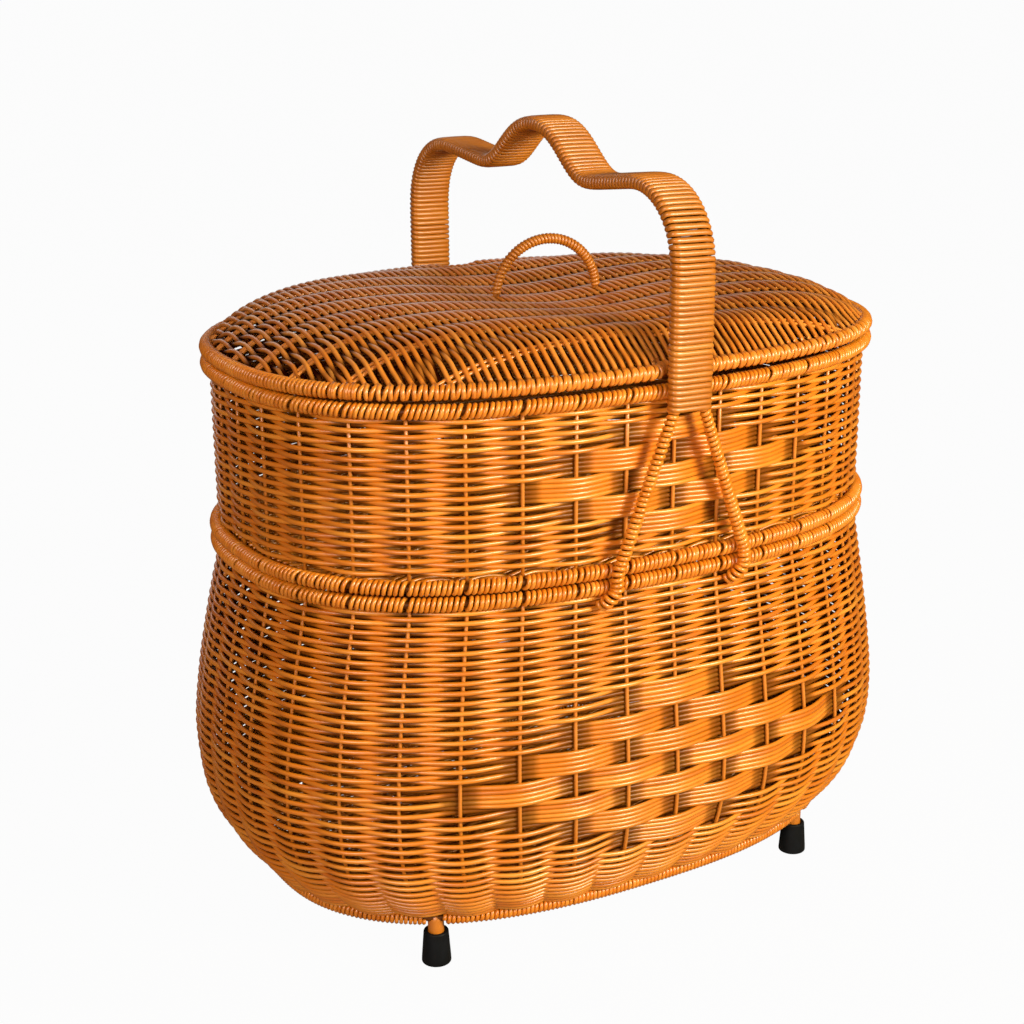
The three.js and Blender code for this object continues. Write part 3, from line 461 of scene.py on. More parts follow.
# %% [markdown]
# ## The wall as a surface
# A place on a wall is two numbers: how far round it is, counted in stakes, and how high. Stakes stand at
# equal steps round the rim, the first at the middle of the front, and the count goes on past the right
# end. The wall's normal leans with its slope, and a strand that passes outside a stake is pushed along
# it. A surface drawn by hand would need every strand placed by eye; with a formula a strand is placed by
# naming its stake and height.

# %% Outlines and stakes
FINE_POINTS = 7201


def outline(a, b, angle):
    """x = a cos^(2/n), y = b sin^(2/n), keeping the signs of cosine and sine."""
    c, s = np.cos(angle), np.sin(angle)
    return a * np.sign(c) * np.abs(c) ** (2 / POWER), b * np.sign(s) * np.abs(s) ** (2 / POWER)


def outline_normal(a, b, x, y):
    """Slope of |x/a|^n + |y/b|^n, which points straight out of the outline and lies level."""
    nx = np.sign(x) * np.abs(x / a) ** (POWER - 1) / a
    ny = np.sign(y) * np.abs(y / b) ** (POWER - 1) / b
    return unit(points_at(nx, ny, 0.0))


def length_along(points):
    """Length of a line from its first point to each of its points."""
    return np.concatenate([[0], np.cumsum(np.linalg.norm(np.diff(points, axis=0), axis=-1))])


fine_angles = -np.pi / 2 + np.linspace(0, FULL_TURN, FINE_POINTS)
fine_lengths = length_along(np.stack(outline(*RIM, fine_angles), -1))
STAKE_STEP = fine_lengths[-1] / STAKES
print("stake step", round(STAKE_STEP, 2), "mm")


def angle_of(stake):
    """Outline angle at a place counted in stakes from the middle of the front."""
    return np.interp(np.mod(stake, STAKES) * STAKE_STEP, fine_lengths, fine_angles)


# %% Place and normal on a wall
NUDGE = 0.5


def lower_half_sizes(z):
    """From the base the halves swell as 1 - (1 - t)^p to the belly, then draw in as u^q to the neck."""
    low = np.clip((z - BASE_Z) / (BELLY_Z - BASE_Z), 0, 1)
    high = np.clip((z - BELLY_Z) / (NECK_Z - BELLY_Z), 0, 1)
    swell, ease = 1 - (1 - low) ** BASE_CURVE, high ** NECK_CURVE
    halves = [base + (belly - base) * swell for base, belly in zip(BASE, BELLY)]
    return [half + (neck - half) * ease for half, neck in zip(halves, WALL)]


def upper_half_sizes(z):
    """The upper tier stands straight, so its halves are the same at every height."""
    return [np.full_like(np.asarray(z, float), half) for half in WALL]


def wall(sizes, stake, z):
    """Points and outward normals at (stake, z), as arrays. The belly hangs a little to the left.

    normal = the outline's level normal - slope * up; slope is how much the wall grows in 1 mm of height.
    """
    stake, z = np.broadcast_arrays(np.asarray(stake, float), np.asarray(z, float))
    angle = angle_of(stake)
    a, b = sizes(z)
    x, y = outline(a, b, angle)
    level = outline_normal(a, b, x, y)
    x1, y1 = outline(*sizes(z + NUDGE), angle)
    x0, y0 = outline(*sizes(z - NUDGE), angle)
    slope = ((x1 - x0) * level[..., 0] + (y1 - y0) * level[..., 1]) / (2 * NUDGE)
    hang = HANG * np.sin(np.pi * np.clip((z - BASE_Z) / (NECK_Z - BASE_Z), 0, 1))
    return points_at(x - hang, y, z), unit(level - slope[..., None] * UP)


print("lower wall halves at the belly:", [round(float(v), 1) for v in lower_half_sizes(BELLY_Z)])

# %% [markdown]
# ## Weaving the walls
# In plain weave each row goes outside one stake and inside the next, and the next row does the opposite.
# On the front and back a panel is woven in blocks: five rows go the same way together, so a stake shows
# as a short bar where a whole block is behind it. The panel is a diamond, |stakes from the middle| +
# |blocks from the middle| no more than a number. A bump or a texture could show a weave from afar, but
# here light falls between the rows, so each row is a strand of its own, which slides from one side of the
# stakes to the other along half a cosine wave.

# %% Over and under
BLOCK_ROWS = 5


def crossings(rows, middle_row, reach, tallest, parity):
    """+1 where a row passes outside a stake and -1 where it passes inside, as (rows, stakes)."""
    row = np.asarray(rows)[:, None]
    stake = np.arange(STAKES)[None]
    plain = np.where((row + stake) % 2 == 0, 1, -1)
    block = np.floor_divide(row - middle_row + BLOCK_ROWS // 2, BLOCK_ROWS)
    half = STAKES // 2
    near = (stake + half // 2) % half - half // 2
    inside = (np.abs(near) + np.abs(block) <= reach) & (np.abs(block) <= tallest)
    return np.where(inside, np.where((near + block) % 2 == parity, -1, 1), plain)


print("a plain row at the first stakes:", crossings([0], 40, 3, 2, 1)[0, :6])

# %% Drift, easing and tone
TONE_LIMIT = 0.8


def smooth_noise(generator, rows, columns, width):
    """Random numbers averaged along each row over a few columns, so that they drift."""
    noise = generator.normal(size=(rows, columns))
    kernel = np.hanning(width + 2)[1:-1]
    kernel = kernel / np.sqrt((kernel ** 2).sum())
    spectrum = np.fft.rfft(noise, axis=1) * np.fft.rfft(kernel, columns)
    return np.fft.irfft(spectrum, columns, axis=1)


def smooth_step(share):
    """0 below 0, 1 above 1, and s^2 (3 - 2 s) between."""
    share = np.clip(share, 0, 1)
    return share * share * (3 - 2 * share)


def cane_tones(generator, count, middle, spread):
    """A tone for each strand: the middle plus the spread times a normal number."""
    return np.clip(middle + spread * generator.normal(size=count), 0, TONE_LIMIT)


print("half way along an easing curve:", smooth_step(0.5))

# %% Rows of cane
STEPS_PER_STAKE, WALL_SIDES = 8, 8
ROW_WANDER = 0.10
ROW_HALF_THICKNESS, THICKNESS_SPREAD = 1.3, 0.03
ROW_TALLNESS, TIGHT_TALLNESS = 1.04, 1.26
PRESSED = 0.1
WAVE, TIGHT_WAVE = STAKE_RADIUS + ROW_HALF_THICKNESS - PRESSED, 1.3
TIGHT_FROM, TIGHT_TO, TIGHT_EASE = 7.0, 25.5, 1.0
ROW_SHADE, ROW_SHADE_FROM, ROW_SHADE_SPAN = 0.75, -0.3, 0.6
WALL_TONE = (0.35, 0.13)


def woven_rows(sizes, heights, signs, seed):
    """Closed rows: wall point + normal * wave, where the wave eases between the signs at the stakes.

    Round the right end and the back the rows are drawn tighter: they wave less and are taller.
    """
    generator = np.random.default_rng(seed)
    count, columns = len(heights), STAKES * STEPS_PER_STAKE
    place = np.arange(columns) / STEPS_PER_STAKE
    stake, ease = place.astype(int), (1 - np.cos(np.pi * (place % 1))) / 2
    before, after = signs[:, stake], signs[:, (stake + 1) % STAKES]
    tight = smooth_step(np.minimum(place - TIGHT_FROM, TIGHT_TO - place) / TIGHT_EASE)
    wave = (WAVE + (TIGHT_WAVE - WAVE) * tight) * (before + (after - before) * ease)
    tallness = ROW_TALLNESS + (TIGHT_TALLNESS - ROW_TALLNESS) * tight
    wander = ROW_WANDER * smooth_noise(generator, count, columns, 3 * STEPS_PER_STAKE)
    points, normals = wall(sizes, place[None], np.asarray(heights)[:, None] + wander)
    radius = ROW_HALF_THICKNESS * (1 + THICKNESS_SPREAD * generator.normal(size=(count, 1)))
    tone = cane_tones(generator, count, *WALL_TONE)[:, None]
    # Painted shade: where a row passes behind a stake its depth rises, so it is painted darker; tight rows
    # get none.
    depth = ROW_SHADE * smooth_step((ROW_SHADE_FROM - wave / WAVE) / ROW_SHADE_SPAN) * (1 - tight)
    path = points + normals * wave[..., None]
    return sweep(path, normals, radius, WALL_SIDES, True, tone, tallness, depth)


print("rows wave", round(WAVE, 2), "mm to each side, and", TIGHT_WAVE, "mm where they are tight")

# %% [markdown]
# The upper wall stands straight, so its rows lie at equal heights. They could be one row copied upwards
# by an array modifier, but then every row would have the same wander and tone; here each row is worked
# out by itself.

# %% Upper wall
UPPER_ROWS, UPPER_MIDDLE_ROW = 33, 16
UPPER_MIDDLE_Z, UPPER_PITCH = 280.8, 2.56
upper_rows = np.arange(UPPER_ROWS)
upper_heights = UPPER_MIDDLE_Z + (upper_rows - UPPER_MIDDLE_ROW) * UPPER_PITCH
upper_signs = crossings(upper_rows, UPPER_MIDDLE_ROW, reach=3, tallest=2, parity=1)
piece("upper_wall_rows", woven_rows(upper_half_sizes, upper_heights, upper_signs, seed=11), wall_cane,
      "upper_tier", "wall_cane", "upper_wall_weave")

# %% [markdown]
# The lower wall is bellied, so its rows are spaced along the slope and not in height, as a weaver beats
# each row down on the one below. Near the base they are beaten closer together, and they stop just above
# the wound base ring. It is made as three pieces, base, belly and top, to keep each mesh small.

# %% Lower wall
LOWER_MIDDLE_Z, LOWER_PITCH, BEATEN_PITCH = 117.2, 2.69, 2.1
LOWER_ROWS_ABOVE, LOWER_ROWS_BELOW, LOWER_LOOSE_ROWS, BEATING_ROWS = 38, 36, 24, 6
SLOPE_START, SLOPE_POINTS = 0.5, 4000
slope_z = np.linspace(BASE_Z + SLOPE_START, LOWER_RIM_Z, SLOPE_POINTS)
slope_length = length_along(np.stack([lower_half_sizes(slope_z)[0], slope_z], -1))
beaten = np.clip((np.arange(LOWER_ROWS_BELOW) - LOWER_LOOSE_ROWS) / BEATING_ROWS, 0, 1)
pitch_below = LOWER_PITCH + (BEATEN_PITCH - LOWER_PITCH) * beaten
middle_length = np.interp(LOWER_MIDDLE_Z, slope_z, slope_length)
lengths_below = middle_length - np.cumsum(pitch_below)
lengths_above = middle_length + LOWER_PITCH * np.arange(LOWER_ROWS_ABOVE + 1)
lower_heights = np.interp(np.concatenate([lengths_below[::-1], lengths_above]), slope_length, slope_z)
lower_rows = np.arange(len(lower_heights)) - LOWER_ROWS_BELOW
lower_signs = crossings(lower_rows, 0, reach=4, tallest=3, parity=0)
print("lower rows from", round(lower_heights[0], 1), "to", round(lower_heights[-1], 1), "mm")
thirds = np.array_split(np.arange(len(lower_rows)), 3)
for part, seed, chosen in zip(("base", "belly", "top"), (21, 22, 23), thirds):
    rows = woven_rows(lower_half_sizes, lower_heights[chosen], lower_signs[chosen], seed)
    piece(f"lower_wall_rows_{part}", rows, wall_cane, "lower_tier", "wall_cane", "lower_wall_weave")

# %% [markdown]
# ## Stakes, ring wires and floor bars
# The stakes are wire with a plastic coat, welded to a ring at the top and bottom. They show as dots
# between the rows, as bars in the panel, and inside the tiers. The solids have them too, but in few flat
# faces; the same sweep that makes the cane makes them round, and all the wire of a tier is joined into
# one mesh, as it is welded.

# %% Parts of a wire frame
WIRE_SIDES = 8
RING_WIRE_RADIUS = 2.0
FLOOR_BAR_SPACING = 27.0
WIRE_TONE, BAR_TONE = 0.35, 0.3
# Painted shade for wires that lie under a winding.
CORE_SHADE = 0.85


def stakes(sizes, z0, z1, steps):
    """One upright strand at each stake, along the wall from z0 to z1."""
    points, normals = wall(sizes, np.arange(STAKES)[:, None], np.linspace(z0, z1, steps)[None])
    return sweep(points, normals, STAKE_RADIUS, WIRE_SIDES, False, WIRE_TONE)


def ring_line(half_sizes, z):
    """A closed outline at one height, with its outward normals."""
    x, y = outline(*half_sizes, angle_of(np.arange(STAKES * STEPS_PER_STAKE) / STEPS_PER_STAKE))
    return points_at(x, y, z), outline_normal(*half_sizes, x, y)


def core_wire(points, normals):
    """A wire along a closed line, painted dark as shade, for it shows only between the turns of the winding
    that hides it.
    """
    return sweep(points[None], normals[None], RING_WIRE_RADIUS, WIRE_SIDES, True, WIRE_TONE,
                 depth=CORE_SHADE)


def outline_depth(half_sizes, x):
    """Half depth of an outline at a distance x from its middle: b (1 - |x/a|^n)^(1/n)."""
    a, b = half_sizes
    return b * np.clip(1 - np.abs(x / a) ** POWER, 0, 1) ** (1 / POWER)


def floor_bars(half_sizes, z):
    """Straight wires across the floor, from front to back."""
    count = int(half_sizes[0] // FLOOR_BAR_SPACING)
    x = np.arange(-count, count + 1) * FLOOR_BAR_SPACING
    ends = outline_depth(half_sizes, x)[:, None] * np.array([-1, 1])
    return sweep(points_at(x[:, None], ends, z), UP, STAKE_RADIUS, WIRE_SIDES, False, BAR_TONE)


print("floor bars on the lower tier:", 2 * int(BASE[0] // FLOOR_BAR_SPACING) + 1)

# %% Frames of coated wire
lower_wire = [
    stakes(lower_half_sizes, BASE_Z, LOWER_RIM_Z, steps=28),
    core_wire(*ring_line(BASE_RING, BASE_RING_Z)),
    core_wire(*ring_line(RIM, LOWER_RIM_Z)),
    floor_bars(BASE, BASE_Z)]
upper_wire = [
    stakes(upper_half_sizes, UPPER_FOOT_Z, UPPER_RIM_Z, steps=4),
    core_wire(*ring_line(RIM, UPPER_FOOT_Z)),
    core_wire(*ring_line(RIM, UPPER_RIM_Z)),
    floor_bars(RIM, UPPER_FOOT_Z)]
for tier, wires in (("lower", lower_wire), ("upper", upper_wire)):
    piece(f"{tier}_wire_frame", join(wires), wire_coat, f"{tier}_tier", "coated_wire", f"{tier}_frame")

# %% [markdown]
# ## Floors
# Each floor is woven like a mat: strands run along the basket and cross the floor bars, over one and
# under the next. A cosine with one half wave per bar does exactly that, so no crossing has to be listed.
# Little of a floor is seen, through the weave and with the lid raised, and its strands have fewer sides.

# %% Woven floors
FLOOR_PITCH = 2.7
FLOOR_STEPS, FLOOR_SIDES = 121, 5


def mat(half_sizes, z, inset, seed):
    """Height = z + wave * cos(pi (x / bar spacing + strand number)), along rows of equal y."""
    generator = np.random.default_rng(seed)
    count = int((half_sizes[1] - inset) // FLOOR_PITCH)
    number = np.arange(-count, count + 1)[:, None]
    y = number * FLOOR_PITCH
    half = outline_depth(half_sizes[::-1], y) - inset
    x = half * np.linspace(-1, 1, FLOOR_STEPS)[None]
    wave = WAVE * np.cos(np.pi * (x / FLOOR_BAR_SPACING + number))
    tone = cane_tones(generator, len(number), *WALL_TONE)[:, None]
    return sweep(points_at(x, y, z + wave), UP, CANE_RADIUS, FLOOR_SIDES, False, tone)


floors = (("lower", BASE, BASE_Z, 3.0, 31), ("upper", RIM, UPPER_FOOT_Z, 5.0, 32))
for tier, half_sizes, z, inset, seed in floors:
    piece(f"{tier}_floor_mat", mat(half_sizes, z, inset, seed), wall_cane, f"{tier}_tier", "wall_cane",
          f"{tier}_floor_weave")

# %% [markdown]
# ## Winding
# Rims, legs and handles are wound: one strand goes round and round something else. The path is a guide
# line plus a circle that turns as it moves along: centre(s) + r (cos t * outward + sin t * up), with t
# growing by a full turn for each pitch of s. Rings set side by side would look alike at first, but their
# ends would not lead into each other. At every stake a rim's turn steps over the stake's end, which
# leaves a small gap.

# %% Wind a strand round a ring
WIND_SIDES, WIND_STEPS = 6, 12
RIM_TURNS_PER_STAKE, STAKE_GAP_SHARE = 10, 0.055
RIM_JITTER = 0.00024
WOUND_TONE = (0.4, 0.1)


def stake_turns():
    """Where the turns of a rim lie, as shares of the ring: even, but for a gap at each stake."""
    stake, turn = np.divmod(np.arange(STAKES * RIM_TURNS_PER_STAKE), RIM_TURNS_PER_STAKE)
    return (stake + STAKE_GAP_SHARE + (1 - STAKE_GAP_SHARE) * turn / RIM_TURNS_PER_STAKE) / STAKES


def turn_tones(generator, turns, t):
    """A tone for each turn, drifting from one to the next, at each step t counted in turns."""
    return np.interp(t, np.arange(turns + 1), cane_tones(generator, turns + 1, *WOUND_TONE))[None]


def perimeter(points):
    """Length of a closed line of points."""
    return np.linalg.norm(np.roll(points, -1, axis=0) - points, axis=-1).sum()


def rim_winding(points, normals, radius, places, lean, seed):
    """A closed winding with a turn at each place, its upper side shifted along by lean * radius."""
    generator = np.random.default_rng(seed)
    turns = len(places)
    knots = np.concatenate([places, places[:1] + 1]) + RIM_JITTER * generator.normal(size=turns + 1)
    t = np.arange(turns * WIND_STEPS) / WIND_STEPS
    angle = FULL_TURN * t
    at = np.interp(t, np.arange(turns + 1), knots) + lean * radius * np.sin(angle) / perimeter(points)
    at = (at % 1) * len(points)
    low, share = np.floor(at).astype(int) % len(points), (at % 1)[:, None]
    high = (low + 1) % len(points)
    centre = points[low] * (1 - share) + points[high] * share
    out = unit(normals[low] * (1 - share) + normals[high] * share)
    spoke = np.cos(angle)[:, None] * out + np.sin(angle)[:, None] * UP
    path = centre + (radius - CANE_RADIUS) * spoke
    tone = turn_tones(generator, turns, t)
    return sweep(path[None], spoke[None], CANE_RADIUS, WIND_SIDES, True, tone)


print("turns round a rim:", len(stake_turns()))

# %% [markdown]
# Three rims are wound in the same way, so one loop makes them: the lower tier's rim, the upper tier's
# foot that sits on it, and the upper tier's rim. A lean tips each turn along the ring, as a strand that
# is pulled tight lies.

# %% Rims
UPPER_RIM_LEAN, LOWER_RIM_LEAN = 0.14, 0.06
for name, z, tier, lean, seed in (
        ("lower_rim", LOWER_RIM_Z, "lower_tier", LOWER_RIM_LEAN, 41),
        ("upper_foot", UPPER_FOOT_Z, "upper_tier", LOWER_RIM_LEAN, 42),
        ("upper_rim", UPPER_RIM_Z, "upper_tier", UPPER_RIM_LEAN, 43)):
    wound = rim_winding(*ring_line(RIM, z), RIM_RADIUS, stake_turns(), lean, seed)
    piece(f"{name}_winding", wound, rim_cane, tier, "rim_cane", f"{name}_binding")

# %% [markdown]
# ## Base ring and feet
# The base ring is wound in four runs, which stop at the posts. Each post is a short coated rod in a
# rubber cap. A cap is a turned shape, so a profile of radius and height is carried round an upright axis;
# its corners are rounded in the profile, where a bevel modifier would need its edges picked out.

# %% Wind an open run
TURN_JITTER, TURN_LEAST, TURN_MOST = 0.05, 0.8, 1.3


def at_lengths(values, length, s):
    """Values known at each point of a line, read at the lengths s along it."""
    return np.stack([np.interp(s, length, values[:, i]) for i in range(values.shape[1])], -1)


def open_winding(centre, out, up, radius, pitch, seed, strand=CANE_RADIUS):
    """Winds along an open line given by points and two cross directions, with slightly uneven turns."""
    generator = np.random.default_rng(seed)
    length = length_along(centre)
    turns = int(round(length[-1] / pitch))
    pitches = np.clip(1 + TURN_JITTER * generator.normal(size=turns), TURN_LEAST, TURN_MOST)
    starts = np.concatenate([[0], np.cumsum(pitches)])
    starts = starts * (length[-1] / starts[-1])
    t = np.arange(turns * WIND_STEPS + 1) / WIND_STEPS
    s = np.interp(t, np.arange(turns + 1), starts)
    first, second = (unit(at_lengths(np.broadcast_to(v, centre.shape), length, s)) for v in (out, up))
    angle = (FULL_TURN * t)[:, None]
    spoke = np.cos(angle) * first + np.sin(angle) * second
    reach = np.interp(s, length, np.broadcast_to(radius, length.shape)) - strand
    path = at_lengths(centre, length, s) + reach[:, None] * spoke
    return sweep(path[None], spoke[None], strand, WIND_SIDES, False, turn_tones(generator, turns, t))


print("open windings have", WIND_STEPS, "steps to a turn, and turns uneven by", TURN_JITTER)

# %% Base ring
FOOT_DEGREES = 48.9
POST_ROOM = 5.4
BASE_PITCH, RUN_POINTS = 2.65, 400
foot_angles = np.radians([FOOT_DEGREES, 180 - FOOT_DEGREES, 180 + FOOT_DEGREES,
                          360 - FOOT_DEGREES, 360 + FOOT_DEGREES])
runs = zip(("back", "left", "front", "right"), foot_angles[:-1], foot_angles[1:], range(51, 55))
for side, start, end, seed in runs:
    x, y = outline(*BASE_RING, np.linspace(start, end, RUN_POINTS))
    run, out = points_at(x, y, BASE_RING_Z), outline_normal(*BASE_RING, x, y)
    length = length_along(run)
    kept = (length > POST_ROOM) & (length < length[-1] - POST_ROOM)
    wound = open_winding(run[kept], out[kept], UP, BASE_BINDING_RADIUS, BASE_PITCH, seed)
    piece(f"base_winding_{side}", wound, rim_cane, "lower_tier", "rim_cane", f"base_binding_{side}")


# %% Turn a profile
CORNER_SHARE = 0.45


def lathe(profile, x, y, sides=48):
    """A profile of (radius, z) turned about an upright axis at (x, y), closed on the axis at both ends."""
    radius, z = np.asarray(profile, float).T[..., None]
    turn = np.arange(sides) * FULL_TURN / sides
    verts = points_at(x + radius * np.cos(turn), y + radius * np.sin(turn), z).reshape(-1, 3)
    index = np.arange(len(verts)).reshape(-1, sides)
    quads = ring_faces(index[:-1], index[1:])
    tris = end_faces(index[0], index[-1], len(verts))
    verts = np.concatenate([verts, [[x, y, z[0, 0]], [x, y, z[-1, 0]]]])
    uv = np.zeros((4 * len(quads) + 3 * len(tris), 2))
    return {"verts": verts, "quads": quads, "tris": tris, "uv": uv, "tone": np.full(len(verts), BAR_TONE),
            "depth": np.zeros(len(verts))}


def rounded(corners, radius, steps=5):
    """A profile whose inner corners become curves, (1 - s)^2 p0 + 2 s (1 - s) corner + s^2 p1.

    p0 and p1 lie on the corner's two sides, a radius from it or less on a short side.
    """
    corners = np.asarray(corners, float)
    rows = [corners[:1]]
    share = np.linspace(0, 1, steps)[:, None]
    for before, at, after in zip(corners[:-2], corners[1:-1], corners[2:]):
        shorter = min(np.linalg.norm(before - at), np.linalg.norm(after - at))
        reach = min(radius, CORNER_SHARE * shorter)
        p0, p1 = at + unit(before - at) * reach, at + unit(after - at) * reach
        rows.append((1 - share) ** 2 * p0 + 2 * share * (1 - share) * at + share ** 2 * p1)
    return np.concatenate(rows + [corners[-1:]])


print("a rounded square corner has", len(rounded([(0, 0), (1, 0), (1, 1)], 0.2)), "points")

# %% Posts and caps
CAP_HEIGHT, CAP_TOP_RADIUS, CAP_FOOT_RADIUS, CAP_FLOOR = 20.0, 7.1, 8.5, 4.3
TOE_HEIGHT, TOE_TAPER, CAP_CORNER = 3.2, 0.15, 1.1
POST_RADIUS, POST_TOP_Z, POST_ROUND, POST_ROUND_HEIGHT = 4.6, 30.8, 1.6, 2.4
ROOM = 0.3
NEAR_AXIS = 0.2
cap_profile = rounded([
    (NEAR_AXIS, 0), (CAP_FOOT_RADIUS, 0), (CAP_FOOT_RADIUS - TOE_TAPER, TOE_HEIGHT),
    (CAP_TOP_RADIUS, CAP_HEIGHT), (POST_RADIUS + ROOM, CAP_HEIGHT),
    (POST_RADIUS + ROOM, CAP_FLOOR - ROOM), (NEAR_AXIS, CAP_FLOOR - ROOM)], CAP_CORNER)
post_profile = rounded([
    (NEAR_AXIS, CAP_FLOOR), (POST_RADIUS, CAP_FLOOR), (POST_RADIUS, POST_TOP_Z - POST_ROUND_HEIGHT),
    (POST_RADIUS - POST_ROUND, POST_TOP_Z), (NEAR_AXIS, POST_TOP_Z)], POST_ROUND)
for corner, angle in zip(("back_right", "back_left", "front_left", "front_right"), foot_angles):
    x, y = outline(*BASE, angle)
    cap, post = lathe(cap_profile, x, y), lathe(post_profile, x, y)
    piece(f"rubber_cap_{corner}", cap, rubber, "lower_tier", "foot_rubber", f"foot_cap_{corner}")
    piece(f"coated_post_{corner}", post, wire_coat, "lower_tier", "foot_post", f"leg_post_{corner}")

# %% [markdown]
# ## Lid
# The lid is a shallow dome with two soft lobes. Paired ribs run along the basket, and strands run across
# them from front to back, over one rib and under the next. Its ring is drawn in where the carrying handle
# comes down. The dome is one formula of x and y, and ribs, strands and the lifting handle all read their
# height from it, so they keep together whatever its shape.

# %% Lid surface
LID_RISE, LID_LOBE, LID_LOBE_REACH, LID_SHOULDER = 16.1, 8.3, 60.0, 7
LID_BOW, LID_TILT = 1.8, 0.012
VALLEY_FADE, VALLEY_LOSS = 105.0, 0.9
NOTCH_DEPTH, NOTCH_HALF, NOTCH_SHOULDER = 6.0, 6.0, 11.0


def notch(x):
    """How far the ring is drawn in at x: full in the middle, easing to nothing along a cosine."""
    t = np.clip((np.abs(x) - NOTCH_HALF) / NOTCH_SHOULDER, 0, 1)
    return NOTCH_DEPTH * (1 + np.cos(np.pi * t)) / 2


def bow(x):
    """The ring is higher in the middle than at its ends, by bow (1 - (x/a)^2)."""
    return LID_BOW * (1 - (x / RIM[0]) ** 2)


def dome(x, y):
    """Rise above a flat ring: bow + (top - bow) (1 - level^7), where level grows to 1 at the ring.

    top is two lobes with a valley between them, which fades towards the front and back, tilted a little.
    """
    depth = outline_depth(RIM, x)
    stretched = y * depth / np.maximum(depth - notch(x), 1e-6)
    level = (np.abs(x / RIM[0]) ** POWER + np.abs(stretched / RIM[1]) ** POWER) ** (1 / POWER)
    valley = np.exp(-(x / LID_LOBE_REACH) ** 2) * np.maximum(1 - VALLEY_LOSS * (y / VALLEY_FADE) ** 2, 0)
    top = LID_RISE + LID_LOBE * (1 - valley) - LID_TILT * x
    return top + (bow(x) - top) * np.minimum(level, 1) ** LID_SHOULDER


lid_middle_z = LID_RIM_Z + float(dome(np.array(0.0), np.array(0.0)))
print("the lid's middle is at", round(lid_middle_z, 1), "mm")

# %% Places of the lid strands
LID_PITCH, LID_LOOSER, LOOSER_FROM, LOOSER_SPAN = 2.42, 0.95, 50.0, 70.0
END_ROOM, RIB_SPACING = 5.0, 28.0
HEM_START, HEM_SLOPE_LIMIT = 3.0, 1.3

lid_x = np.linspace(-RIM[0] + END_ROOM, RIM[0] - END_ROOM, 2001)
lid_pitch = LID_PITCH + LID_LOOSER * smooth_step((lid_x - LOOSER_FROM) / LOOSER_SPAN)
passed = np.concatenate([[0], np.cumsum(np.diff(lid_x) / lid_pitch[1:])])
strand_number = np.arange(int(passed[-1]) + 1)
strand_x = np.interp(strand_number, passed, lid_x)
ring_depth = outline_depth(RIM, strand_x) - notch(strand_x)
ring_slope = np.gradient(ring_depth, strand_x)
last_rib = np.floor((ring_depth - HEM_START) / RIB_SPACING)
gentle = np.abs(ring_slope) < HEM_SLOPE_LIMIT
hemmed = ((last_rib + strand_number) % 2 == 0) & gentle
print(len(strand_number), "lid strands, looser towards the right end;", hemmed.sum(), "end over the ring")

# %% [markdown]
# Every second strand ends over the ring's rim and shows there as one of its turns; the one between is
# tucked in under the ring. Each end is a piece of a circle round the ring's wire, added to the strand's
# path.

# %% Ends of the lid strands
LID_STRAND_RADIUS, LID_SIDES = 1.3, 6
HEM_STEPS = 8
HEM_OVER, HEM_UNDER, HEM_PROUD = (115, -70), (175, 235), 0.1
over = hemmed[:, None]


def hem(side):
    """The end of each strand at the front (-1) or back (+1): over the wound rim, or tucked in under it."""
    degrees = np.where(over, np.linspace(*HEM_OVER, HEM_STEPS), np.linspace(*HEM_UNDER, HEM_STEPS))
    angle = np.radians(degrees)
    reach = np.where(over, RIM_RADIUS - CANE_RADIUS + HEM_PROUD, RING_WIRE_RADIUS + LID_STRAND_RADIUS)
    out = unit(np.stack([-ring_slope, np.full_like(ring_slope, side)], -1))[:, None]
    spoke = points_at(out[..., 0] * np.cos(angle), out[..., 1] * np.cos(angle), np.sin(angle))
    ring = points_at(strand_x, side * ring_depth, LID_RIM_Z + bow(strand_x))
    return ring[:, None] + reach[..., None] * spoke, np.where(over[..., None], spoke, -spoke)


print("lowest strand end at", round(hem(-1)[0][..., 2].min(), 1), "mm")

# %% Lid strands
LID_STEPS = 85
LID_WAVE, LID_TWIST = 2.2, 0.4
SETTLE_LENGTH, HEM_LIFT_OVER, HEM_LIFT_UNDER = 14.0, 1.4, -2.6
LID_SHADE_FROM, LID_SHADE_SPAN = 0.5, 1.0
LID_TONE = (0.4, 0.14)


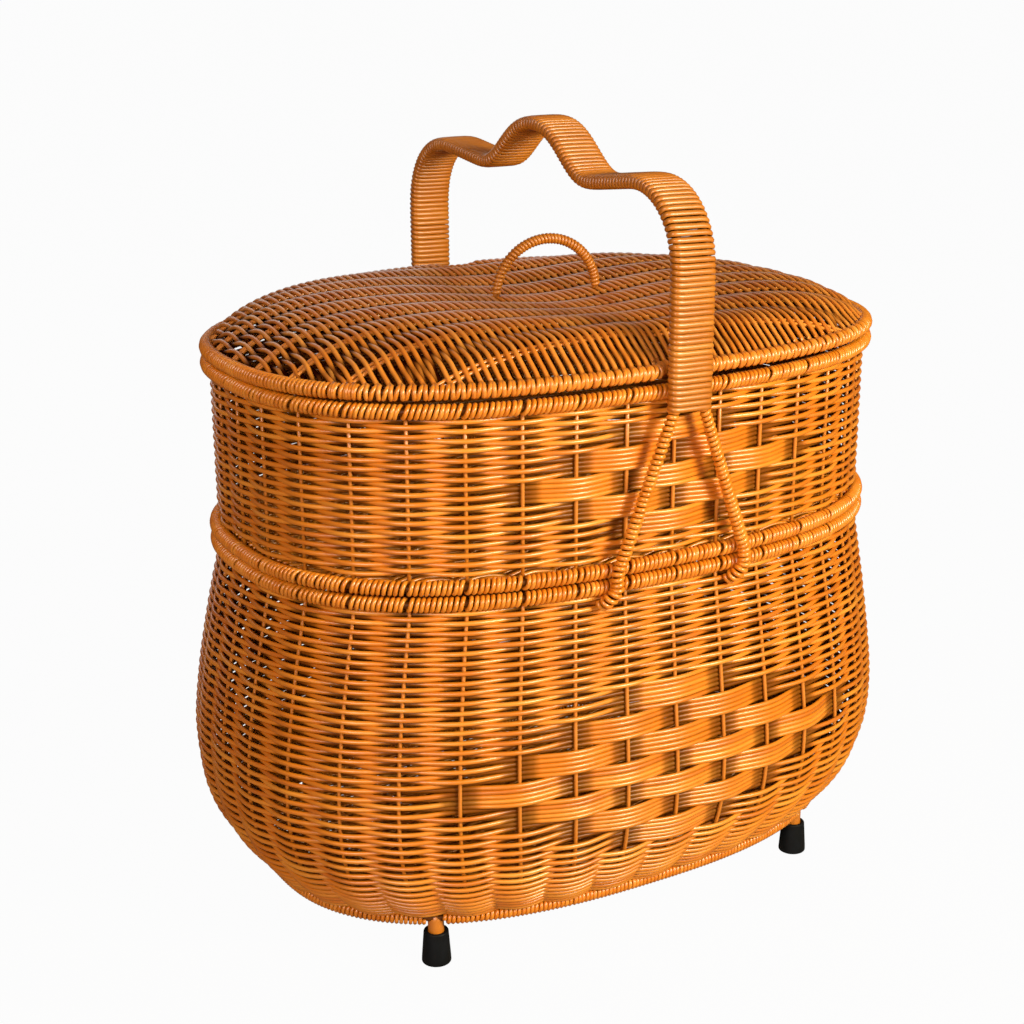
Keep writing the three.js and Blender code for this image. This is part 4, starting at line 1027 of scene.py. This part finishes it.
def lid_strands(seed):
    """z = ring + dome + wave cos(p) and x = place + twist sin(p).

    p = pi (y / rib spacing + strand number), so neighbours lean a little towards each other in pairs. Both
    ends settle on the ring.
    """
    generator = np.random.default_rng(seed)
    half = (ring_depth - HEM_START)[:, None]
    y = half * np.sin(np.pi / 2 * np.linspace(-1, 1, LID_STEPS))[None]
    settle = smooth_step((np.abs(y) - half + SETTLE_LENGTH) / SETTLE_LENGTH)
    phase = np.pi * (y / RIB_SPACING + strand_number[:, None])
    x = strand_x[:, None] + LID_TWIST * np.sin(phase) * (1 - settle)
    lift = LID_WAVE * np.cos(phase) * (1 - settle) + settle * np.where(over, HEM_LIFT_OVER, HEM_LIFT_UNDER)
    middle = points_at(x, y, LID_RIM_Z + dome(x, y) + lift)
    (front, front_out), (back, back_out) = hem(-1), hem(1)
    points = np.concatenate([front[:, ::-1], middle, back], axis=1)
    outward = np.concatenate([front_out[:, ::-1], np.broadcast_to(UP, middle.shape), back_out], axis=1)
    tone = cane_tones(generator, len(x), *LID_TONE)[:, None]
    # Painted shade: a strand is painted darker where it dips under a rib, and a tucked-in end is painted
    # dark all along.
    tucked_shade = np.where(over, 0.0, 1.0)
    depth = smooth_step((LID_SHADE_FROM - np.cos(phase)) / LID_SHADE_SPAN) * (1 - settle) + settle * tucked_shade
    ends = np.broadcast_to(tucked_shade, (len(x), HEM_STEPS))
    depth = np.concatenate([ends, depth, ends], axis=1)
    return sweep(points, outward, LID_STRAND_RADIUS, LID_SIDES, False, tone, depth=depth)


piece("lid_strands", lid_strands(seed=61), lid_cane, "lid", "lid_cane", "lid_weave")

# %% [markdown]
# Under the strands lie the ribs, two canes side by side, and round the edge runs a ring of wire. The ring
# is wound like the rims, but a turn comes only where a strand is tucked in, so that strand ends and turns
# take each other's place. Round the two ends, where the strands run along the ring, the turns are even.

# %% Lid ribs and ring
RIB_COUNT, RIB_PAIR, RIB_CANE, RIB_TONE = 9, 1.25, 1.15, 0.5
RIB_STEPS, RIB_INSET = 81, 1.0
FINE_STEPS = 40


def lid_ribs():
    """Pairs of canes at equal y, rising with the dome."""
    y = (np.arange(RIB_COUNT) - (RIB_COUNT - 1) / 2) * RIB_SPACING
    y = np.concatenate([y - RIB_PAIR, y + RIB_PAIR])[:, None]
    x = (outline_depth(RIM[::-1], y) - RIB_INSET) * np.sin(np.pi / 2 * np.linspace(-1, 1, RIB_STEPS))[None]
    return sweep(points_at(x, y, LID_RIM_Z + dome(x, y)), UP, RIB_CANE, LID_SIDES, False, RIB_TONE)


def lid_ring():
    """The rim's outline with the notches drawn in, in even steps, and its outward normals."""
    x, y = outline(*RIM, angle_of(np.arange(STAKES * FINE_STEPS) / FINE_STEPS))
    points = points_at(x, y - np.sign(y) * notch(x), LID_RIM_Z + bow(x))
    closed = np.concatenate([points, points[:1]])
    length = length_along(closed)
    count = STAKES * STEPS_PER_STAKE * 4
    points = at_lengths(closed, length, np.linspace(0, length[-1], count, endpoint=False))
    along = slopes(points[None], True)[0]
    return points, points_at(along[:, 1], -along[:, 0], 0.0)


lid_line = lid_ring()
lid_wire = join([lid_ribs(), core_wire(*lid_line)])
piece("lid_rib_pairs", lid_wire, lid_cane, "lid", "coated_wire", "lid_frame")

# %% Wind the lid's ring
LID_END_PITCH = 2.7


def lid_turns(points):
    """A turn at each strand that is tucked in, and even turns round the two ends."""
    share = (np.arange(len(points)) / len(points) + 0.25) % 1 - 0.25
    along = []
    for half in (points[:, 1] < 0, points[:, 1] > 0):
        order = np.argsort(points[half, 0])
        along.append(np.interp(strand_x[~hemmed & gentle], points[half, 0][order], share[half][order]))
    known = np.sort(np.concatenate(along) % 1)
    gaps = np.diff(np.concatenate([known, known[:1] + 1]))
    wide = gaps * perimeter(points)
    extra = np.where(wide > 4 * LID_PITCH, np.round(wide / LID_END_PITCH), 1).astype(int)
    return np.concatenate([k + g * np.arange(n) / n for k, g, n in zip(known, gaps, extra)])


lid_wound = rim_winding(*lid_line, RIM_RADIUS, lid_turns(lid_line[0]), lean=0.0, seed=62)
piece("lid_rim_winding", lid_wound, rim_cane, "lid", "rim_cane", "lid_rim_binding")

# %% [markdown]
# The lifting handle is a bent rod that stands in the middle of the lid, wound with a thinner cane. Half
# an ellipse gives the bend, and the same open winding that went round the base goes round it.

# %% Lid handle
ARCH_HALF_SPAN, ARCH_RISE, ARCH_FOOT = 34.0, 32.0, 3.9
ARCH_ROD, ARCH_WOUND, ARCH_PITCH, ARCH_STRAND = 1.9, 3.2, 2.3, 1.1
ARCH_STEPS, ARCH_BARE_STEPS = 121, 3
SIDEWAYS = np.array([0.0, 1.0, 0.0])
bend = np.linspace(0, np.pi, ARCH_STEPS)
arch = points_at(-ARCH_HALF_SPAN * np.cos(bend), 0.0, lid_middle_z + ARCH_FOOT + ARCH_RISE * np.sin(bend))
arch_out = np.cross(SIDEWAYS, slopes(arch[None], False)[0])
arch_rod = sweep(arch[None], SIDEWAYS, ARCH_ROD, WIRE_SIDES, False, WIRE_TONE)
wound = slice(ARCH_BARE_STEPS, -ARCH_BARE_STEPS)
arch_cane = open_winding(arch[wound], arch_out[wound], SIDEWAYS, ARCH_WOUND, ARCH_PITCH, 63, ARCH_STRAND)
piece("lid_arch_rod", arch_rod, wire_coat, "lid", "coated_wire", "lid_handle_rod")
piece("lid_arch_winding", arch_cane, handle_cane, "lid", "rim_cane", "lid_handle_binding")

# %% [markdown]
# ## Carrying handle
# Two rods lie side by side inside one winding about 27 mm wide, which makes a flat, comfortable band with
# a crest in the middle. The line of the band is straight legs, round shoulders and a crest, smoothed as
# stiff rods would bend. Each turn is a flat oval, drawn as a superellipse, because a plain ellipse would
# leave the edges thin. Below the band each rod goes on alone as a leg and hooks under the lower tier's
# rim.

# %% Guide line of the band
HANDLE_PLANE, BAND_FOOT_Z, SHOULDER_Z, SHOULDER_RADIUS = 145.5, 319.0, 433.6, 40.0
VALLEY_Z, CREST_Z, CREST_HALF, CREST_OFFSET, CREST_POWER = 427.5, 454.8, 56.0, -1.5, 1.25
SHOULDER_POINTS, CREST_POINTS = 25, 61
LINE_STEP, BEND_WINDOW = 1.0, 31


def even_line(points, spacing):
    """An open line of points, spaced evenly."""
    length = length_along(points)
    return at_lengths(points, length, np.linspace(0, length[-1], int(length[-1] / spacing) + 1))


def softened(points, width):
    """The line averaged over a sliding bell window, with both ends carried on straight."""
    kernel = np.hanning(width + 2)[1:-1]
    kernel = kernel / kernel.sum()
    beyond = np.arange(1, width // 2 + 1)[:, None]
    before = points[:1] + beyond[::-1] * (points[:1] - points[1:2])
    after = points[-1:] + beyond * (points[-1:] - points[-2:-1])
    full = np.concatenate([before, points, after])
    return np.stack([np.convolve(column, kernel, "valid") for column in full.T], -1)


def band_line():
    """(y, z) up the front leg, round its shoulder, over the crest and down the back, with soft bends."""
    turn = np.linspace(np.pi, np.pi / 2, SHOULDER_POINTS)
    bend = SHOULDER_RADIUS * np.stack([np.cos(turn), np.sin(turn)], -1)
    bend = bend + [SHOULDER_RADIUS - HANDLE_PLANE, SHOULDER_Z - SHOULDER_RADIUS]
    front = np.concatenate([[[-HANDLE_PLANE, BAND_FOOT_Z]], bend])
    u = np.linspace(-1, 1, CREST_POINTS)
    rise = (1 + np.cos(np.pi * np.abs(u) ** CREST_POWER)) / 2
    crest = np.stack([CREST_OFFSET + u * CREST_HALF, VALLEY_Z + (CREST_Z - VALLEY_Z) * rise], -1)
    line = np.concatenate([front, crest, front[::-1] * [-1, 1]])
    return softened(even_line(line, LINE_STEP), BEND_WINDOW)


band = points_at(0.0, *band_line().T)
ACROSS = np.array([1.0, 0.0, 0.0])
band_out = np.cross(ACROSS, slopes(band[None], False)[0])
band_length = length_along(band)
print("band", round(band_length[-1]), "mm long")

# %% Wind the band
BAND_HALF_WIDTH, BAND_HALF_THICKNESS = 13.4, 4.2
BAND_PITCH, BAND_STRAND, BAND_FLAT, BAND_OVAL = 3.0, 1.05, 1.5, 4.5
BAND_STEPS = 20
BAND_LEAST, BAND_MOST = 0.85, 1.8
LOOSE_AT, LOOSE_WIDTH, LOOSE_SPREAD = 92.0, 11.0, 0.16


def signed_power(value, power):
    """The value raised to a power, keeping its sign."""
    return np.sign(value) * np.abs(value) ** power


def band_winding(seed):
    """Turn = (w |cos|^(2/m) across, h |sin|^(2/m) out of the band), moved one pitch along for each turn.

    The turns stand a little apart where the front leg bends into the shoulder.
    """
    generator = np.random.default_rng(seed)
    turns = int(round(band_length[-1] / BAND_PITCH))
    near = np.linspace(0, band_length[-1], turns)
    loose = LOOSE_SPREAD * np.exp(-((near - LOOSE_AT) / LOOSE_WIDTH) ** 2)
    pitches = 1 + TURN_JITTER * generator.normal(size=turns) + loose
    starts = np.concatenate([[0], np.cumsum(np.clip(pitches, BAND_LEAST, BAND_MOST))])
    starts = starts * (band_length[-1] / starts[-1])
    t = np.arange(turns * BAND_STEPS + 1) / BAND_STEPS
    s = np.interp(t, np.arange(turns + 1), starts)
    out = unit(at_lengths(band_out, band_length, s))
    c, d = np.cos(FULL_TURN * t)[:, None], np.sin(FULL_TURN * t)[:, None]
    width, height = BAND_HALF_WIDTH - BAND_STRAND, BAND_HALF_THICKNESS - BAND_STRAND
    oval = width * signed_power(c, 2 / BAND_OVAL) * ACROSS + height * signed_power(d, 2 / BAND_OVAL) * out
    steep = 2 - 2 / BAND_OVAL
    lean_across = signed_power(c, steep) / BAND_HALF_WIDTH
    lean_out = signed_power(d, steep) / BAND_HALF_THICKNESS
    spoke = unit(lean_across * ACROSS + lean_out * out)
    path = at_lengths(band, band_length, s) + oval
    tone = turn_tones(generator, turns, t)
    return sweep(path[None], spoke[None], BAND_STRAND, WIND_SIDES, False, tone, BAND_FLAT)


piece("handle_band_winding", band_winding(seed=71), handle_cane, "lower_tier", "handle_cane",
      "handle_band_binding")

# %% [markdown]
# A leg's line starts under the lower tier's rim, goes round it as a hook, and rises on a slant into the
# band. Its winding is thicker at the hook, where the cane is doubled back. The rods inside are hardly
# seen, but they carry the load, so they are made too.

# %% Wound legs
ROD_HALF_SPACING, ROD_RADIUS = 8.6, 2.4
LEG_HALF_SPREAD, LEG_PITCH, LEG_STRAND, LEG_SEED = 42.0, 3.0, 1.4, 81
LEG_WOUND_FOOT, LEG_WOUND, LEG_WOUND_TOP, FLARE_LENGTH = 4.4, 4.0, 3.4, 14.0
LEG_IN_BAND = 2.0
HOOK_DEGREES, HOOK_LEAN = (-75, -55, -35, -15, 0), 6.0


def leg_line(right, back):
    """From under the lower rim, round its outside, over both rims and up into the band's foot."""
    x = right * LEG_HALF_SPREAD
    rim_y = outline_depth(RIM, x)
    reach = RIM_RADIUS + LEG_WOUND
    turn = np.radians(HOOK_DEGREES)
    hook = points_at(x + HOOK_LEAN * np.sin(turn), back * (rim_y + reach * np.cos(turn)),
                     LOWER_RIM_Z + reach * np.sin(turn))
    rest = [[x, back * (rim_y + reach), UPPER_FOOT_Z],
            [right * ROD_HALF_SPACING, back * HANDLE_PLANE, BAND_FOOT_Z + LEG_IN_BAND]]
    return even_line(np.concatenate([hook, rest]), LINE_STEP)


for end, back in (("front", -1), ("back", 1)):
    for side, right in (("left", -1), ("right", 1)):
        leg = leg_line(right, back)
        along = slopes(leg[None], False)[0]
        first = unit(np.cross(along, SIDEWAYS))
        thickness = np.interp(np.arange(len(leg)), [0, FLARE_LENGTH, len(leg)],
                              [LEG_WOUND_FOOT, LEG_WOUND, LEG_WOUND_TOP])
        seed = LEG_SEED + right + 3 * back
        shape = open_winding(leg, first, np.cross(along, first), thickness, LEG_PITCH, seed, LEG_STRAND)
        piece(f"handle_leg_winding_{end}_{side}", shape, rim_cane, "lower_tier", "rim_cane",
              f"handle_leg_binding_{end}_{side}")

# %% Rods inside the handle
JOINT_STEPS = 4
for side, right in (("left", -1), ("right", 1)):
    middle = band + right * ROD_HALF_SPACING * ACROSS
    path = np.concatenate([leg_line(right, -1), middle[JOINT_STEPS:-JOINT_STEPS], leg_line(right, 1)[::-1]])
    # Painted shade: the rods are painted dark, as they lie inside the winding.
    rod = sweep(path[None], ACROSS, ROD_RADIUS, WIRE_SIDES, False, WIRE_TONE, depth=CORE_SHADE)
    piece(f"handle_core_rod_{side}", rod, wire_coat, "lower_tier", "coated_wire", f"handle_rod_{side}")
